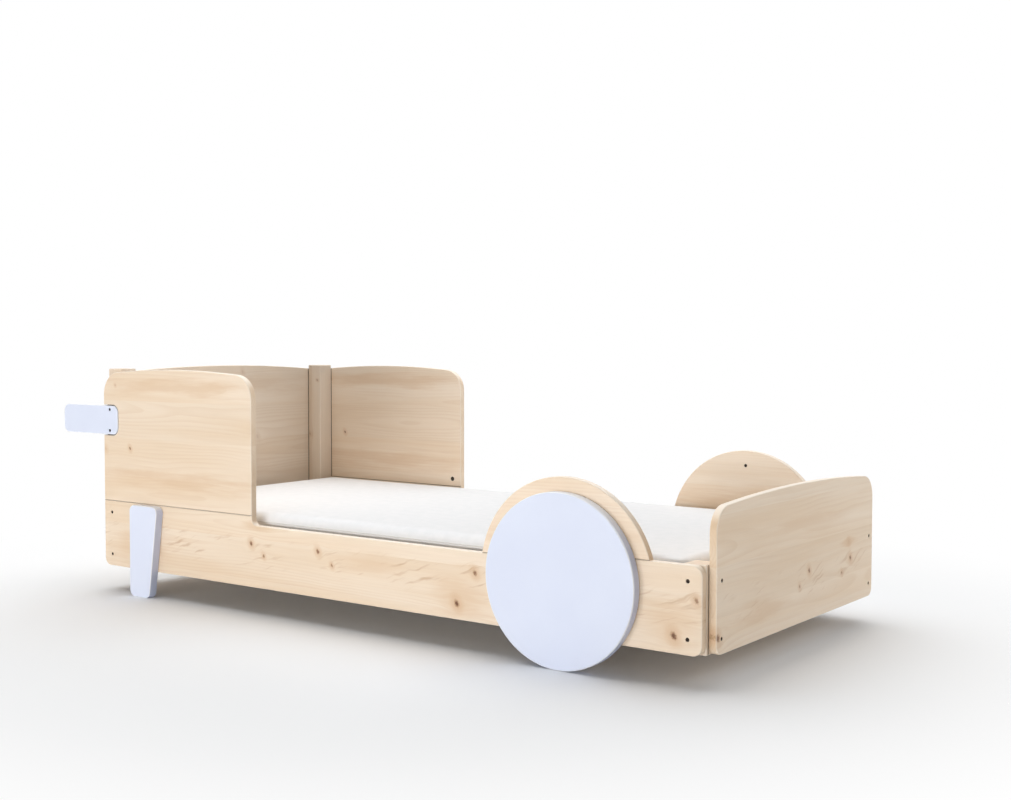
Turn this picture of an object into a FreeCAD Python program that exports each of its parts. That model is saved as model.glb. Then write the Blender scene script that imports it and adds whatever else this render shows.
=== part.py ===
import FreeCAD, Part
import os

import Sketcher
from FreeCAD import Vector

# A low child's bed in the shape of a wheelbarrow, in millimetres. Pine boards make the box,
# lacquered discs and planks make the wheels, legs and handles, and a mattress lies on slats.
# +X runs from head to foot, +Z is up and the origin is on the floor, under the middle of the bed.
# Boards are drawn from one datum: the head end of the rails, at floor level.

SIZES = {
    # The box of boards
    "bed_width": 1000,
    "bed_length": 2150,
    "board_thickness": 21,
    "edge_round": 3,
    "rail_clear": 79,
    "rail_height": 208,
    "rail_corner": 25,
    "entry_drop": 27,
    # Head guards, with the handle's seat
    "guard_length": 680,
    "guard_drop": 1,
    "guard_arch": 17,
    "guard_corner": 72,
    "notch_gap": 2.5,
    # Head and foot panels
    "panel_inset": 31,
    "panel_top_corner": 61,
    "panel_foot_corner": 25,
    "head_panel_height": 612,
    "head_panel_arch": 20,
    "foot_panel_height": 337.5,
    "foot_panel_arch": 19,
    # Corner posts
    "post_side": 60,
    "head_post_rise": 16,
    # Wheels and mudguards
    "wheel_from_foot": 379,
    "wheel_radius": 216.5,
    "wheel_thickness": 28,
    "wheel_round": 4,
    "mudguard_reach": 35,
    # Legs
    "leg_from_head": 158,
    "leg_top_width": 132,
    "leg_foot_width": 92,
    "leg_thickness": 28,
    "leg_corner": 20,
    "leg_top_drop": 2,
    # Handles
    "handle_overhang": 207,
    "handle_root": 69,
    "handle_height": 92,
    "handle_drop": 100,
    "handle_thickness": 15,
    "handle_corner": 24,
    # Slats and the ledgers that carry them
    "ledger_width": 24,
    "ledger_height": 40,
    "slat_width": 70,
    "slat_thickness": 18,
    "slat_round": 2,
    "slat_end_gap": 2,
    "slat_margin": 4,
    # Mattress
    "mattress_thickness": 130,
    "mattress_rise": 5.5,
    "mattress_head_gap": 29,
    "mattress_foot_gap": 1,
    "mattress_side_gap": 29,
    "mattress_seat_gap": 0.3,
    "mattress_corner": 24,
    "mattress_border": 9,
    "mattress_draw": 3,
    "mattress_crown": 4,
    # Connector screws
    "screw_diameter": 7,
    "screw_head": 10,
    "screw_head_height": 4,
    "screw_recess": 1.5,
    "screw_tip": 3,
    "screw_socket": 4,
    "screw_socket_depth": 3,
    "long_screw": 48,
    "short_screw": 38,
    "rail_screw_inset": 37,
    "panel_screw_inset": 25,
    "handle_screw_inset": 12.5,
    "mudguard_screw_inset": 10,
    "wheel_screw_offset": 110,
    "wheel_screw_height": 185,
    "leg_screw_inset": 40,
    "leg_screw_pitch": 52,
    "leg_screw_row": 66,
    # Wood screws of the slats and ledgers
    "wood_screw_diameter": 4,
    "wood_screw_head": 8,
    "wood_screw_head_height": 2.5,
    "wood_screw_bite": 12,
    "wood_screw_socket": 2.5,
    "wood_screw_socket_depth": 1.5,
    # Cams, cam pins and dowels
    "cam_diameter": 15,
    "cam_depth": 13,
    "cam_slot": 2,
    "cam_slot_depth": 3,
    "cam_inset": 37,
    "cam_level": 27,
    "cam_pin_diameter": 7,
    "cam_pin_bite": 11,
    "dowel_diameter": 8,
    "dowel_length": 40,
    "dowel_chamfer": 1,
    "post_dowel_length": 30,
    "post_dowel_bite": 12,
    # Drilling
    "drill_clearance": 0.2,
    "drill_spare": 1,
    "overrun": 5,
}

SLAT_COUNT = 15
LEDGER_SCREW_COUNT = 7

# Places along a piece, as shares of its length or height
ENTRY_CORNER_SHARE = 0.74
GUARD_DOWEL_SHARES = (0.22, 0.62)
POST_DOWEL_SHARES = (0.14, 0.88)
HEAD_PANEL_SCREW_SHARE = 0.9
MUDGUARD_DOWEL_SHARE = 0.6
MIDDLE_SHARE = 0.5

# Corner of a hexagon from its middle, as a share of the width across its flats
HEXAGON_CORNER_SHARE = 0.57735

# Mattress sections from the underside up: height share, and shares of the border and of the draw
MATTRESS_SECTION_SHARES = (
    (0.0, 1.0, 0.0),
    (0.1, 0.0, 0.0),
    (0.5, 0.0, 1.0),
    (0.9, 0.0, 0.0),
    (1.0, 1.0, 0.0),
)
MATTRESS_CROWN_SHARE = 0.3

RIGHT = -1
LEFT = 1
SIDES = {RIGHT: "right", LEFT: "left"}
MATCH = 0.01

doc = FreeCAD.newDocument("wheelbarrow_bed")
sheet = doc.addObject("Spreadsheet::Sheet", "Sizes")
for row, (alias, number) in enumerate(SIZES.items(), start=1):
    sheet.set(f"A{row}", alias)
    sheet.set(f"B{row}", str(number))
    sheet.setAlias(f"B{row}", alias)
doc.recompute()


class Size:
    """A length that keeps its value together with the sheet formula behind it."""

    def __init__(self, value, formula):
        self.value = float(value)
        self.formula = formula

    def __add__(self, other):
        other = as_size(other)
        return Size(self.value + other.value, f"({self.formula} + {other.formula})")

    def __sub__(self, other):
        other = as_size(other)
        return Size(self.value - other.value, f"({self.formula} - {other.formula})")

    def __mul__(self, share):
        share = as_size(share)
        return Size(self.value * share.value, f"({self.formula} * {share.formula})")

    def __truediv__(self, share):
        share = as_size(share)
        return Size(self.value / share.value, f"({self.formula} / {share.formula})")

    def __neg__(self):
        return self * -1


def as_size(number):
    """A size as it is, or a plain count, share or zero as a size."""
    if isinstance(number, Size):
        return number
    return Size(number, f"({number!r})")


def size(alias):
    """The driving dimension of that name."""
    return Size(sheet.get(alias), f"Sizes.{alias}")


# Levels and planes that several pieces share
board = size("board_thickness")
half_width = size("bed_width") / 2
bed_length = size("bed_length")
rail_clear = size("rail_clear")
rail_top = rail_clear + size("rail_height")
entry_level = rail_top - size("entry_drop")
entry_start = size("guard_length")
entry_corner = size("entry_drop") * ENTRY_CORNER_SHARE
wheel_x = bed_length - size("wheel_from_foot")
wheel_radius = size("wheel_radius")
mudguard_radius = wheel_radius + size("mudguard_reach")
entry_end = wheel_x
post_side = size("post_side")
guard_height = size("head_panel_height") - size("rail_height") - size("guard_drop")
guard_top = rail_top + guard_height
handle_top = guard_top - size("handle_drop")
handle_bottom = handle_top - size("handle_height")
handle_root = size("handle_root")
panel_half = half_width - size("panel_inset")
mattress_bottom = rail_top + size("mattress_rise") - size("mattress_thickness")
slat_top = mattress_bottom - size("mattress_seat_gap")
ledger_top = slat_top - size("slat_thickness")
overrun = size("overrun")
head_x = (size("handle_overhang") - bed_length - board) / 2

# Places of the fasteners, from the datum
rail_screw_levels = (rail_clear + size("rail_screw_inset"), rail_top - size("rail_screw_inset"))
rail_screw_xs = (size("rail_screw_inset"), bed_length - size("rail_screw_inset"))
head_panel_screw_levels = rail_screw_levels + (
    rail_clear + size("head_panel_height") * HEAD_PANEL_SCREW_SHARE,)
panel_screw_depth = size("panel_inset") + size("panel_screw_inset")
handle_screw_levels = (
    handle_bottom + size("handle_screw_inset"), handle_top - size("handle_screw_inset"))
post_middle = post_side / 2
wheel_screw_xs = (wheel_x - size("wheel_screw_offset"), wheel_x + size("wheel_screw_offset"))
wheel_screw_level = size("wheel_screw_height")
mudguard_screw_level = wheel_radius * 2 - size("mudguard_screw_inset")
leg_top = rail_top - size("leg_top_drop")
leg_screw_x = size("leg_from_head") + size("leg_screw_inset")
leg_screw_level = rail_top - size("leg_screw_inset")
leg_screws = (
    (leg_screw_x, leg_screw_level),
    (leg_screw_x + size("leg_screw_pitch"), leg_screw_level),
    (leg_screw_x, leg_screw_level - size("leg_screw_row")),
)
ledger_start = post_side + size("slat_end_gap")
ledger_length = bed_length - ledger_start * 2
ledger_middle = ledger_top - size("ledger_height") / 2
ledger_screw_xs = tuple(
    ledger_start + ledger_length * ((index + MIDDLE_SHARE) / LEDGER_SCREW_COUNT)
    for index in range(LEDGER_SCREW_COUNT))
slat_run = bed_length - (post_side + size("slat_margin")) * 2 - size("slat_width")
slat_middles = tuple(
    post_side + size("slat_margin") + size("slat_width") / 2 + slat_run * (index / (SLAT_COUNT - 1))
    for index in range(SLAT_COUNT))
slat_half = half_width - board - size("slat_end_gap")
slat_screw_y = half_width - board - size("ledger_width") / 2
guard_dowel_xs = tuple(size("guard_length") * share for share in GUARD_DOWEL_SHARES)
post_dowel_levels = tuple(rail_top + guard_height * share for share in POST_DOWEL_SHARES)
cam_x = size("guard_length") - size("cam_inset")
cam_level = rail_top + size("cam_level")
cam_pin_end = cam_level - size("cam_diameter") / 2
mudguard_dowels = (
    (wheel_x - mudguard_radius * MUDGUARD_DOWEL_SHARE, entry_level),
    (wheel_x + mudguard_radius * MUDGUARD_DOWEL_SHARE, rail_top),
)

# Drills
clearance = size("drill_clearance")
spare = size("drill_spare")
screw_drill = size("screw_diameter") + clearance
head_drill = size("screw_head") + clearance
head_depth = size("screw_recess") + size("screw_head_height")
long_depth = size("screw_recess") + size("long_screw") + spare
short_depth = size("screw_recess") + size("short_screw") + spare
wood_drill = size("wood_screw_diameter") + clearance
wood_head_drill = size("wood_screw_head") + clearance
dowel_drill = size("dowel_diameter") + clearance
dowel_depth = size("dowel_length") / 2 + spare

pieces = []


def bind(item, prop, length):
    """Tie a property to the sheet."""
    item.setExpression(prop, as_size(length).formula)


def place(item, x, y, z):
    """Put a piece at a point given in named sizes."""
    point = [as_size(number) for number in (x, y, z)]
    item.Placement.Base = Vector(*[number.value for number in point])
    for axis, number in zip("xyz", point):
        bind(item, f"Placement.Base.{axis}", number)


def new_body(label):
    """An empty body for one piece."""
    body = doc.addObject("PartDesign::Body", label)
    body.Label = label
    pieces.append(body)
    return body


# The way each origin plane faces along its own axis
FACING = {"XY_Plane": 1, "XZ_Plane": -1, "YZ_Plane": 1}


def new_sketch(body, plane, level=0):
    """A sketch on one of the body's planes, moved along that plane's axis to a level."""
    sketch = body.newObject("Sketcher::SketchObject", "Sketch")
    support = [item for item in body.Origin.OriginFeatures if item.Role == plane]
    sketch.AttachmentSupport = [(support[0], "")]
    sketch.MapMode = "FlatFace"
    offset = as_size(level) * FACING[plane]
    sketch.AttachmentOffset.Base.z = offset.value
    bind(sketch, "AttachmentOffset.Base.z", offset)
    return sketch


def dimension(sketch, constraint, length):
    """Add a constraint and tie its value to the sheet."""
    index = sketch.addConstraint(constraint)
    bind(sketch, f"Constraints[{index}]", length)


def pin_point(sketch, edge, end, point):
    """Fix one point of a sketch edge by its two distances from the origin."""
    for kind, length in zip(("DistanceX", "DistanceY"), point):
        length = as_size(length)
        dimension(sketch, Sketcher.Constraint(kind, -1, 1, edge, end, length.value), length)


def draw_outline(sketch, corners, rise=None):
    """Closed outline, anticlockwise. With a rise, its third edge is an arch of that height."""
    points = [Vector(as_size(u).value, as_size(v).value, 0) for u, v in corners]
    edges = []
    for index, start in enumerate(points):
        end = points[(index + 1) % len(points)]
        if rise is not None and index == 2:
            crown = (start + end) / 2 + Vector(0, rise.value, 0)
            edges.append(sketch.addGeometry(Part.Arc(start, crown, end)))
        else:
            edges.append(sketch.addGeometry(Part.LineSegment(start, end)))
    for index, edge in enumerate(edges):
        following = edges[(index + 1) % len(edges)]
        sketch.addConstraint(Sketcher.Constraint("Coincident", edge, 2, following, 1))
        pin_point(sketch, edge, 1, corners[index])
    if rise is not None:
        half_span = (as_size(corners[2][0]) - corners[3][0]) / 2
        radius = (half_span * half_span + rise * rise) / (rise * 2)
        dimension(sketch, Sketcher.Constraint("Radius", edges[2], radius.value), radius)


def draw_circle(sketch, centre, radius):
    """A circle about a point given in named sizes."""
    middle = Vector(as_size(centre[0]).value, as_size(centre[1]).value, 0)
    edge = sketch.addGeometry(Part.Circle(middle, Vector(0, 0, 1), radius.value))
    pin_point(sketch, edge, 3, centre)
    dimension(sketch, Sketcher.Constraint("Radius", edge, radius.value), radius)


def rectangle(left, bottom, right, top):
    """The corners of an upright rectangle, anticlockwise."""
    return [(left, bottom), (right, bottom), (right, top), (left, top)]


def pad(body, sketch, plane, length, towards):
    """Raise a sketch into a solid, towards the plus or minus side of the plane's axis."""
    feature = body.newObject("PartDesign::Pad", "Pad")
    feature.Profile = sketch
    feature.Reversed = towards != FACING[plane]
    bind(feature, "Length", length)
    doc.recompute()


def pocket(body, sketch, plane, depth, towards):
    """Cut a sketch into the solid, towards the plus or minus side of the plane's axis."""
    before = body.Shape.Volume
    feature = body.newObject("PartDesign::Pocket", "Pocket")
    feature.Profile = sketch
    feature.Reversed = towards == FACING[plane]
    bind(feature, "Length", depth)
    doc.recompute()
    if not body.Shape.Volume < before:
        raise ValueError(f"a cut in {body.Label} removes nothing")


def drill(body, plane, level, towards, centres, diameter, depth):
    """Round holes of one size, drilled from a level of the plane's axis."""
    sketch = new_sketch(body, plane, level)
    for centre in centres:
        draw_circle(sketch, centre, diameter / 2)
    pocket(body, sketch, plane, depth, towards)


def fillet(body, names, radius):
    """Round the named edges, or all edges of the named faces."""
    base = body.Tip
    feature = body.newObject("PartDesign::Fillet", "Fillet")
    feature.Base = (base, names)
    bind(feature, "Radius", radius)
    doc.recompute()


def round_corners(body, axis, corners, radius):
    """Round the edges that run along an axis through the given corners."""
    names = []
    for index, edge in enumerate(body.Tip.Shape.Edges, start=1):
        ends = [(vertex.X, vertex.Y, vertex.Z) for vertex in edge.Vertexes]
        across = [[end[other] for other in range(3) if other != axis] for end in ends]
        for u, v in corners:
            target = (as_size(u).value, as_size(v).value)
            near = [abs(a - b) < MATCH for place_of in across for a, b in zip(place_of, target)]
            if len(ends) == 2 and all(near):
                names.append(f"Edge{index}")
    if len(names) != len(corners):
        raise ValueError(f"{body.Label}: {len(names)} edges found for {len(corners)} corners")
    fillet(body, names, radius)


def ease_faces(body, axis, radius):
    """Round over the outlines of the two outermost faces that look along an axis."""
    levels = {}
    for index, face in enumerate(body.Tip.Shape.Faces, start=1):
        normal = face.normalAt(0, 0)
        if abs(abs(normal[axis]) - 1) < MATCH:
            levels[f"Face{index}"] = face.CenterOfMass[axis]
    ends = (min(levels.values()), max(levels.values()))
    names = [name for name, level in levels.items() if min(abs(level - end) for end in ends) < MATCH]
    fillet(body, names, radius)


def outer_face(side):
    """The Y of the rail's outer face on that side."""
    return half_width * side


def at_depth(side, depth):
    """The Y of a point that deep behind the rail's outer face."""
    return (half_width - depth) * side


def side_rail(side):
    """Board along the side, cut down between guard and mudguard as the way into the bed."""
    body = new_body(f"side_rail_{SIDES[side]}")
    inward = -side
    sketch = new_sketch(body, "XZ_Plane")
    draw_outline(sketch, rectangle(0, rail_clear, bed_length, rail_top))
    pad(body, sketch, "XZ_Plane", board, inward)
    entry = new_sketch(body, "XZ_Plane")
    draw_outline(entry, rectangle(entry_start, entry_level, entry_end, rail_top + overrun))
    pocket(body, entry, "XZ_Plane", board + overrun, inward)
    entry_corners = [(entry_start, entry_level), (entry_end, entry_level)]
    round_corners(body, 1, entry_corners, entry_corner)
    ends = [(0, rail_clear), (bed_length, rail_clear), (bed_length, rail_top)]
    round_corners(body, 1, ends, size("rail_corner"))
    ease_faces(body, 1, size("edge_round"))

    screws = [(x, level) for x in rail_screw_xs for level in rail_screw_levels]
    drill(body, "XZ_Plane", 0, inward, screws, head_drill, head_depth)
    drill(body, "XZ_Plane", 0, inward, screws, screw_drill, board + overrun)
    inner = board * inward
    painted = [(x, wheel_screw_level) for x in wheel_screw_xs] + list(leg_screws)
    drill(body, "XZ_Plane", inner, side, painted, head_drill, head_depth)
    drill(body, "XZ_Plane", inner, side, painted, screw_drill, board + overrun)
    pilots = [(x, ledger_middle) for x in ledger_screw_xs]
    drill(body, "XZ_Plane", inner, side, pilots, wood_drill, size("wood_screw_bite") + spare)

    middle = board / 2 * inward
    pins = [(x, middle) for x in guard_dowel_xs]
    drill(body, "XY_Plane", rail_top, -1, pins, dowel_drill, dowel_depth)
    pin_drill = size("cam_pin_diameter") + clearance
    drill(body, "XY_Plane", rail_top, -1, [(cam_x, middle)], pin_drill, size("cam_pin_bite"))
    for x, level in mudguard_dowels:
        drill(body, "XY_Plane", level, -1, [(x, middle)], dowel_drill, dowel_depth)
    place(body, head_x, outer_face(side), 0)


def head_guard(side):
    """Arched board on the rail beside the pillow, with a seat at its head edge for the handle."""
    body = new_body(f"head_guard_{SIDES[side]}")
    inward = -side
    length = size("guard_length")
    sketch = new_sketch(body, "XZ_Plane")
    draw_outline(sketch, rectangle(0, rail_top, length, guard_top), rise=size("guard_arch"))
    pad(body, sketch, "XZ_Plane", board, inward)
    gap = size("notch_gap")
    notch = new_sketch(body, "XZ_Plane")
    root = handle_root + gap
    draw_outline(notch, rectangle(-overrun, handle_bottom - gap, root, handle_top + gap))
    pocket(body, notch, "XZ_Plane", size("handle_thickness"), inward)
    notch_corners = [(root, handle_bottom - gap), (root, handle_top + gap)]
    round_corners(body, 1, notch_corners, size("handle_corner") + gap)
    round_corners(body, 1, [(0, guard_top), (length, guard_top)], size("guard_corner"))
    ease_faces(body, 1, size("edge_round"))

    inner = board * inward
    cam_drill = size("cam_diameter") + clearance
    drill(body, "XZ_Plane", inner, side, [(cam_x, cam_level)], cam_drill, size("cam_depth"))
    screws = [(post_middle, level) for level in handle_screw_levels]
    drill(body, "XZ_Plane", inner, side, screws, screw_drill, board + overrun)
    posts = [(post_middle, level) for level in post_dowel_levels]
    bite = size("post_dowel_bite") + spare
    drill(body, "XZ_Plane", inner, side, posts, dowel_drill, bite)
    middle = board / 2 * inward
    pins = [(x, middle) for x in guard_dowel_xs]
    drill(body, "XY_Plane", rail_top, 1, pins, dowel_drill, dowel_depth)
    pin_drill = size("cam_pin_diameter") + clearance
    drill(body, "XY_Plane", rail_top, 1, [(cam_x, middle)], pin_drill, size("cam_level"))
    place(body, head_x, outer_face(side), 0)


def end_panel(label, x, outward, height, arch, screw_levels):
    """Arched board across the end of the bed, on the outside of the posts."""
    body = new_body(label)
    top = rail_clear + height
    sketch = new_sketch(body, "YZ_Plane")
    draw_outline(sketch, rectangle(-panel_half, rail_clear, panel_half, top), rise=arch)
    pad(body, sketch, "YZ_Plane", board, outward)
    feet = [(-panel_half, rail_clear), (panel_half, rail_clear)]
    round_corners(body, 0, feet, size("panel_foot_corner"))
    round_corners(body, 0, [(-panel_half, top), (panel_half, top)], size("panel_top_corner"))
    ease_faces(body, 0, size("edge_round"))
    reach = half_width - panel_screw_depth
    screws = [(reach * side, level) for side in SIDES for level in screw_levels]
    outer = board * outward
    drill(body, "YZ_Plane", outer, -outward, screws, head_drill, head_depth)
    drill(body, "YZ_Plane", outer, -outward, screws, screw_drill, board + overrun)
    place(body, head_x + x, 0, 0)


def corner_post(side, label, x, outward, height, levels, face_holes):
    """Square post in the corner. Rails and guards are fixed to its side, the panel to its end."""
    body = new_body(label)
    inward = -side
    sketch = new_sketch(body, "XY_Plane", rail_clear)
    near = 0 if outward < 0 else -post_side
    far = post_side if outward < 0 else 0
    low = 0 if inward > 0 else -post_side
    high = post_side if inward > 0 else 0
    draw_outline(sketch, rectangle(near, low, far, high))
    pad(body, sketch, "XY_Plane", height, 1)
    faces = [f"Face{index}" for index in range(1, len(body.Tip.Shape.Faces) + 1)]
    fillet(body, faces, size("edge_round"))
    for centres, diameter, depth in face_holes:
        drill(body, "XZ_Plane", 0, inward, centres, diameter, depth)
    across = (panel_screw_depth - board) * inward
    screws = [(across, level) for level in levels]
    drill(body, "YZ_Plane", 0, -outward, screws, screw_drill, long_depth - board)
    place(body, head_x + x, at_depth(side, board), 0)


def head_post(side):
    """Tall post at the head, holding rail, guard, handle and head panel."""
    rail_holes = [(size("rail_screw_inset"), level) for level in rail_screw_levels]
    handle_holes = [(post_middle, level) for level in handle_screw_levels]
    dowel_holes = [(post_middle, level) for level in post_dowel_levels]
    dowel_bite = size("post_dowel_length") - size("post_dowel_bite") + spare
    face_holes = [
        (rail_holes + handle_holes, screw_drill, long_depth - board),
        (dowel_holes, dowel_drill, dowel_bite),
    ]
    label = f"head_post_{SIDES[side]}"
    height = size("head_panel_height") + size("head_post_rise")
    corner_post(side, label, as_size(0), -1, height, head_panel_screw_levels, face_holes)


def foot_post(side):
    """Short post at the foot, holding rail and foot panel."""
    rail_holes = [(-size("rail_screw_inset"), level) for level in rail_screw_levels]
    face_holes = [(rail_holes, screw_drill, long_depth - board)]
    label = f"foot_post_{SIDES[side]}"
    height = size("rail_height")
    corner_post(side, label, bed_length, 1, height, rail_screw_levels, face_holes)


def mudguard(side):
    """Part disc standing on the rail behind the wheel, stepped where the rail is cut down."""
    body = new_body(f"mudguard_{SIDES[side]}")
    inward = -side
    sketch = new_sketch(body, "XZ_Plane")
    draw_circle(sketch, (wheel_x, wheel_radius), mudguard_radius)
    pad(body, sketch, "XZ_Plane", board, inward)
    lower = new_sketch(body, "XZ_Plane")
    left = wheel_x - mudguard_radius - overrun
    right = wheel_x + mudguard_radius + overrun
    bottom = wheel_radius - mudguard_radius - overrun
    draw_outline(lower, [
        (left, bottom), (right, bottom), (right, rail_top),
        (entry_end, rail_top), (entry_end, entry_level), (left, entry_level)])
    pocket(body, lower, "XZ_Plane", board + overrun, inward)
    round_corners(body, 1, [(entry_end, entry_level)], entry_corner)
    ease_faces(body, 1, size("edge_round"))
    inner = board * inward
    centre = [(wheel_x, mudguard_screw_level)]
    drill(body, "XZ_Plane", inner, side, centre, head_drill, head_depth)
    drill(body, "XZ_Plane", inner, side, centre, screw_drill, board + overrun)
    for x, level in mudguard_dowels:
        drill(body, "XY_Plane", level, 1, [(x, board / 2 * inward)], dowel_drill, dowel_depth)
    place(body, head_x, outer_face(side), 0)


def wheel(side):
    """Lacquered disc standing on the floor against the rail. It is screwed on and doesn't turn."""
    body = new_body(f"wheel_{SIDES[side]}")
    sketch = new_sketch(body, "XZ_Plane")
    draw_circle(sketch, (wheel_x, wheel_radius), wheel_radius)
    pad(body, sketch, "XZ_Plane", size("wheel_thickness"), side)
    ease_faces(body, 1, size("wheel_round"))
    holes = [(x, wheel_screw_level) for x in wheel_screw_xs] + [(wheel_x, mudguard_screw_level)]
    drill(body, "XZ_Plane", 0, side, holes, screw_drill, short_depth - board)
    place(body, head_x, outer_face(side), 0)


def leg(side):
    """Lacquered tapered leg on the outside of the rail, upright on its head side."""
    body = new_body(f"leg_{SIDES[side]}")
    start = size("leg_from_head")
    corners = [
        (start, 0), (start + size("leg_foot_width"), 0),
        (start + size("leg_top_width"), leg_top), (start, leg_top)]
    sketch = new_sketch(body, "XZ_Plane")
    draw_outline(sketch, corners)
    pad(body, sketch, "XZ_Plane", size("leg_thickness"), side)
    round_corners(body, 1, corners, size("leg_corner"))
    ease_faces(body, 1, size("edge_round"))
    drill(body, "XZ_Plane", 0, side, leg_screws, screw_drill, short_depth - board)
    place(body, head_x, outer_face(side), 0)


def handle(side):
    """Lacquered plank let in flush with the guard's face and screwed to the post through it."""
    body = new_body(f"handle_{SIDES[side]}")
    inward = -side
    corners = rectangle(-size("handle_overhang"), handle_bottom, handle_root, handle_top)
    sketch = new_sketch(body, "XZ_Plane")
    draw_outline(sketch, corners)
    pad(body, sketch, "XZ_Plane", size("handle_thickness"), inward)
    round_corners(body, 1, corners, size("handle_corner"))
    ease_faces(body, 1, size("edge_round"))
    screws = [(post_middle, level) for level in handle_screw_levels]
    drill(body, "XZ_Plane", 0, inward, screws, head_drill, head_depth)
    drill(body, "XZ_Plane", 0, inward, screws, screw_drill, board + overrun)
    place(body, head_x, outer_face(side), 0)


def slat_ledger(side):
    """Strip screwed along the inside of the rail. The slats lie on it."""
    body = new_body(f"slat_ledger_{SIDES[side]}")
    inward = -side
    width = size("ledger_width")
    right = ledger_start + ledger_length
    sketch = new_sketch(body, "XZ_Plane")
    bottom = ledger_top - size("ledger_height")
    draw_outline(sketch, rectangle(ledger_start, bottom, right, ledger_top))
    pad(body, sketch, "XZ_Plane", width, inward)
    holes = [(x, ledger_middle) for x in ledger_screw_xs]
    inner = width * inward
    drill(body, "XZ_Plane", inner, side, holes, wood_drill, width + overrun)
    drill(body, "XZ_Plane", inner, side, holes, wood_head_drill, size("wood_screw_head_height"))
    pilots = [(x, width / 2 * inward) for x in slat_middles]
    bite = size("wood_screw_bite") + spare
    drill(body, "XY_Plane", ledger_top, -1, pilots, wood_drill, bite)
    place(body, head_x, at_depth(side, board), 0)


def slat(number, middle):
    """Board across the bed from ledger to ledger, screwed at both ends."""
    body = new_body(f"slat_{number:02d}")
    half = size("slat_width") / 2
    thickness = size("slat_thickness")
    sketch = new_sketch(body, "XY_Plane")
    draw_outline(sketch, rectangle(-half, -slat_half, half, slat_half))
    pad(body, sketch, "XY_Plane", thickness, 1)
    long_edges = [(-half, 0), (half, 0), (half, thickness), (-half, thickness)]
    round_corners(body, 1, long_edges, size("slat_round"))
    screws = [(0, slat_screw_y * side) for side in SIDES]
    drill(body, "XY_Plane", thickness, -1, screws, wood_drill, thickness + overrun)
    drill(body, "XY_Plane", thickness, -1, screws, wood_head_drill, size("wood_screw_head_height"))
    place(body, head_x + middle, 0, ledger_top)


def draw_rounded_rectangle(sketch, half_u, half_v, radius):
    """A rectangle about the origin with quarter-round corners, anticlockwise from lower right."""
    arcs = []
    for sign_u, sign_v in ((1, -1), (1, 1), (-1, 1), (-1, -1)):
        centre = ((half_u - radius) * sign_u, (half_v - radius) * sign_v)
        middle = Vector(centre[0].value, centre[1].value, 0)
        flat = middle + Vector(0, radius.value * sign_v, 0)
        upright = middle + Vector(radius.value * sign_u, 0, 0)
        bend = middle + Vector(sign_u, sign_v, 0).normalize() * radius.value
        ends = (flat, upright) if sign_u != sign_v else (upright, flat)
        arc = sketch.addGeometry(Part.Arc(ends[0], bend, ends[1]))
        flat_end = ends.index(flat) + 1
        upright_end = ends.index(upright) + 1
        across, along = centre
        pin_point(sketch, arc, 3, centre)
        dimension(sketch, Sketcher.Constraint("Radius", arc, radius.value), radius)
        dimension(sketch, Sketcher.Constraint("DistanceX", -1, 1, arc, flat_end, across.value), across)
        dimension(sketch, Sketcher.Constraint("DistanceY", -1, 1, arc, upright_end, along.value), along)
        arcs.append((arc, ends))
    for (arc, ends), (following, next_ends) in zip(arcs, arcs[1:] + arcs[:1]):
        line = sketch.addGeometry(Part.LineSegment(ends[1], next_ends[0]))
        sketch.addConstraint(Sketcher.Constraint("Coincident", arc, 2, line, 1))
        sketch.addConstraint(Sketcher.Constraint("Coincident", line, 2, following, 1))


def mattress():
    """Foam mattress in a white cover: rounded borders, drawn-in sides and a slightly crowned top."""
    body = new_body("mattress")
    head = post_side + size("mattress_head_gap")
    foot = bed_length - post_side - size("mattress_foot_gap")
    half_length = (foot - head) / 2
    half_across = half_width - board - size("mattress_side_gap")
    thickness = size("mattress_thickness")
    corner = size("mattress_corner")
    sections = []
    for height_share, border_share, draw_share in MATTRESS_SECTION_SHARES:
        inset = size("mattress_border") * border_share + size("mattress_draw") * draw_share
        sketch = new_sketch(body, "XY_Plane", thickness * height_share)
        draw_rounded_rectangle(sketch, half_length - inset, half_across - inset, corner)
        sections.append(sketch)
    inset = half_across * MATTRESS_CROWN_SHARE
    crown = new_sketch(body, "XY_Plane", thickness + size("mattress_crown"))
    draw_rounded_rectangle(crown, half_length - inset, half_across - inset, corner)
    sections.append(crown)
    loft = body.newObject("PartDesign::AdditiveLoft", "Loft")
    loft.Profile = sections[0]
    loft.Sections = sections[1:]
    loft.Ruled = True
    doc.recompute()
    place(body, head_x + foot - half_length, 0, mattress_bottom)


def turned_profile(label, outline):
    """A template body turned about Z from a half outline. It is copied, and isn't a piece itself."""
    body = doc.addObject("PartDesign::Body", label)
    sketch = new_sketch(body, "XZ_Plane")
    draw_outline(sketch, outline)
    turn = body.newObject("PartDesign::Revolution", "Revolution")
    turn.Profile = sketch
    turn.ReferenceAxis = (sketch, ["V_Axis"])
    doc.recompute()
    return body


def cut_socket(body, width, depth):
    """A hexagon driving socket in the head of a screw template, that wide across its flats."""
    corner = width * HEXAGON_CORNER_SHARE
    bend = corner / 2
    flat = width / 2
    sketch = new_sketch(body, "XY_Plane")
    draw_outline(sketch, [
        (-bend, -flat), (bend, -flat), (corner, 0), (bend, flat), (-bend, flat), (-corner, 0)])
    pocket(body, sketch, "XY_Plane", depth, -1)


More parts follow.
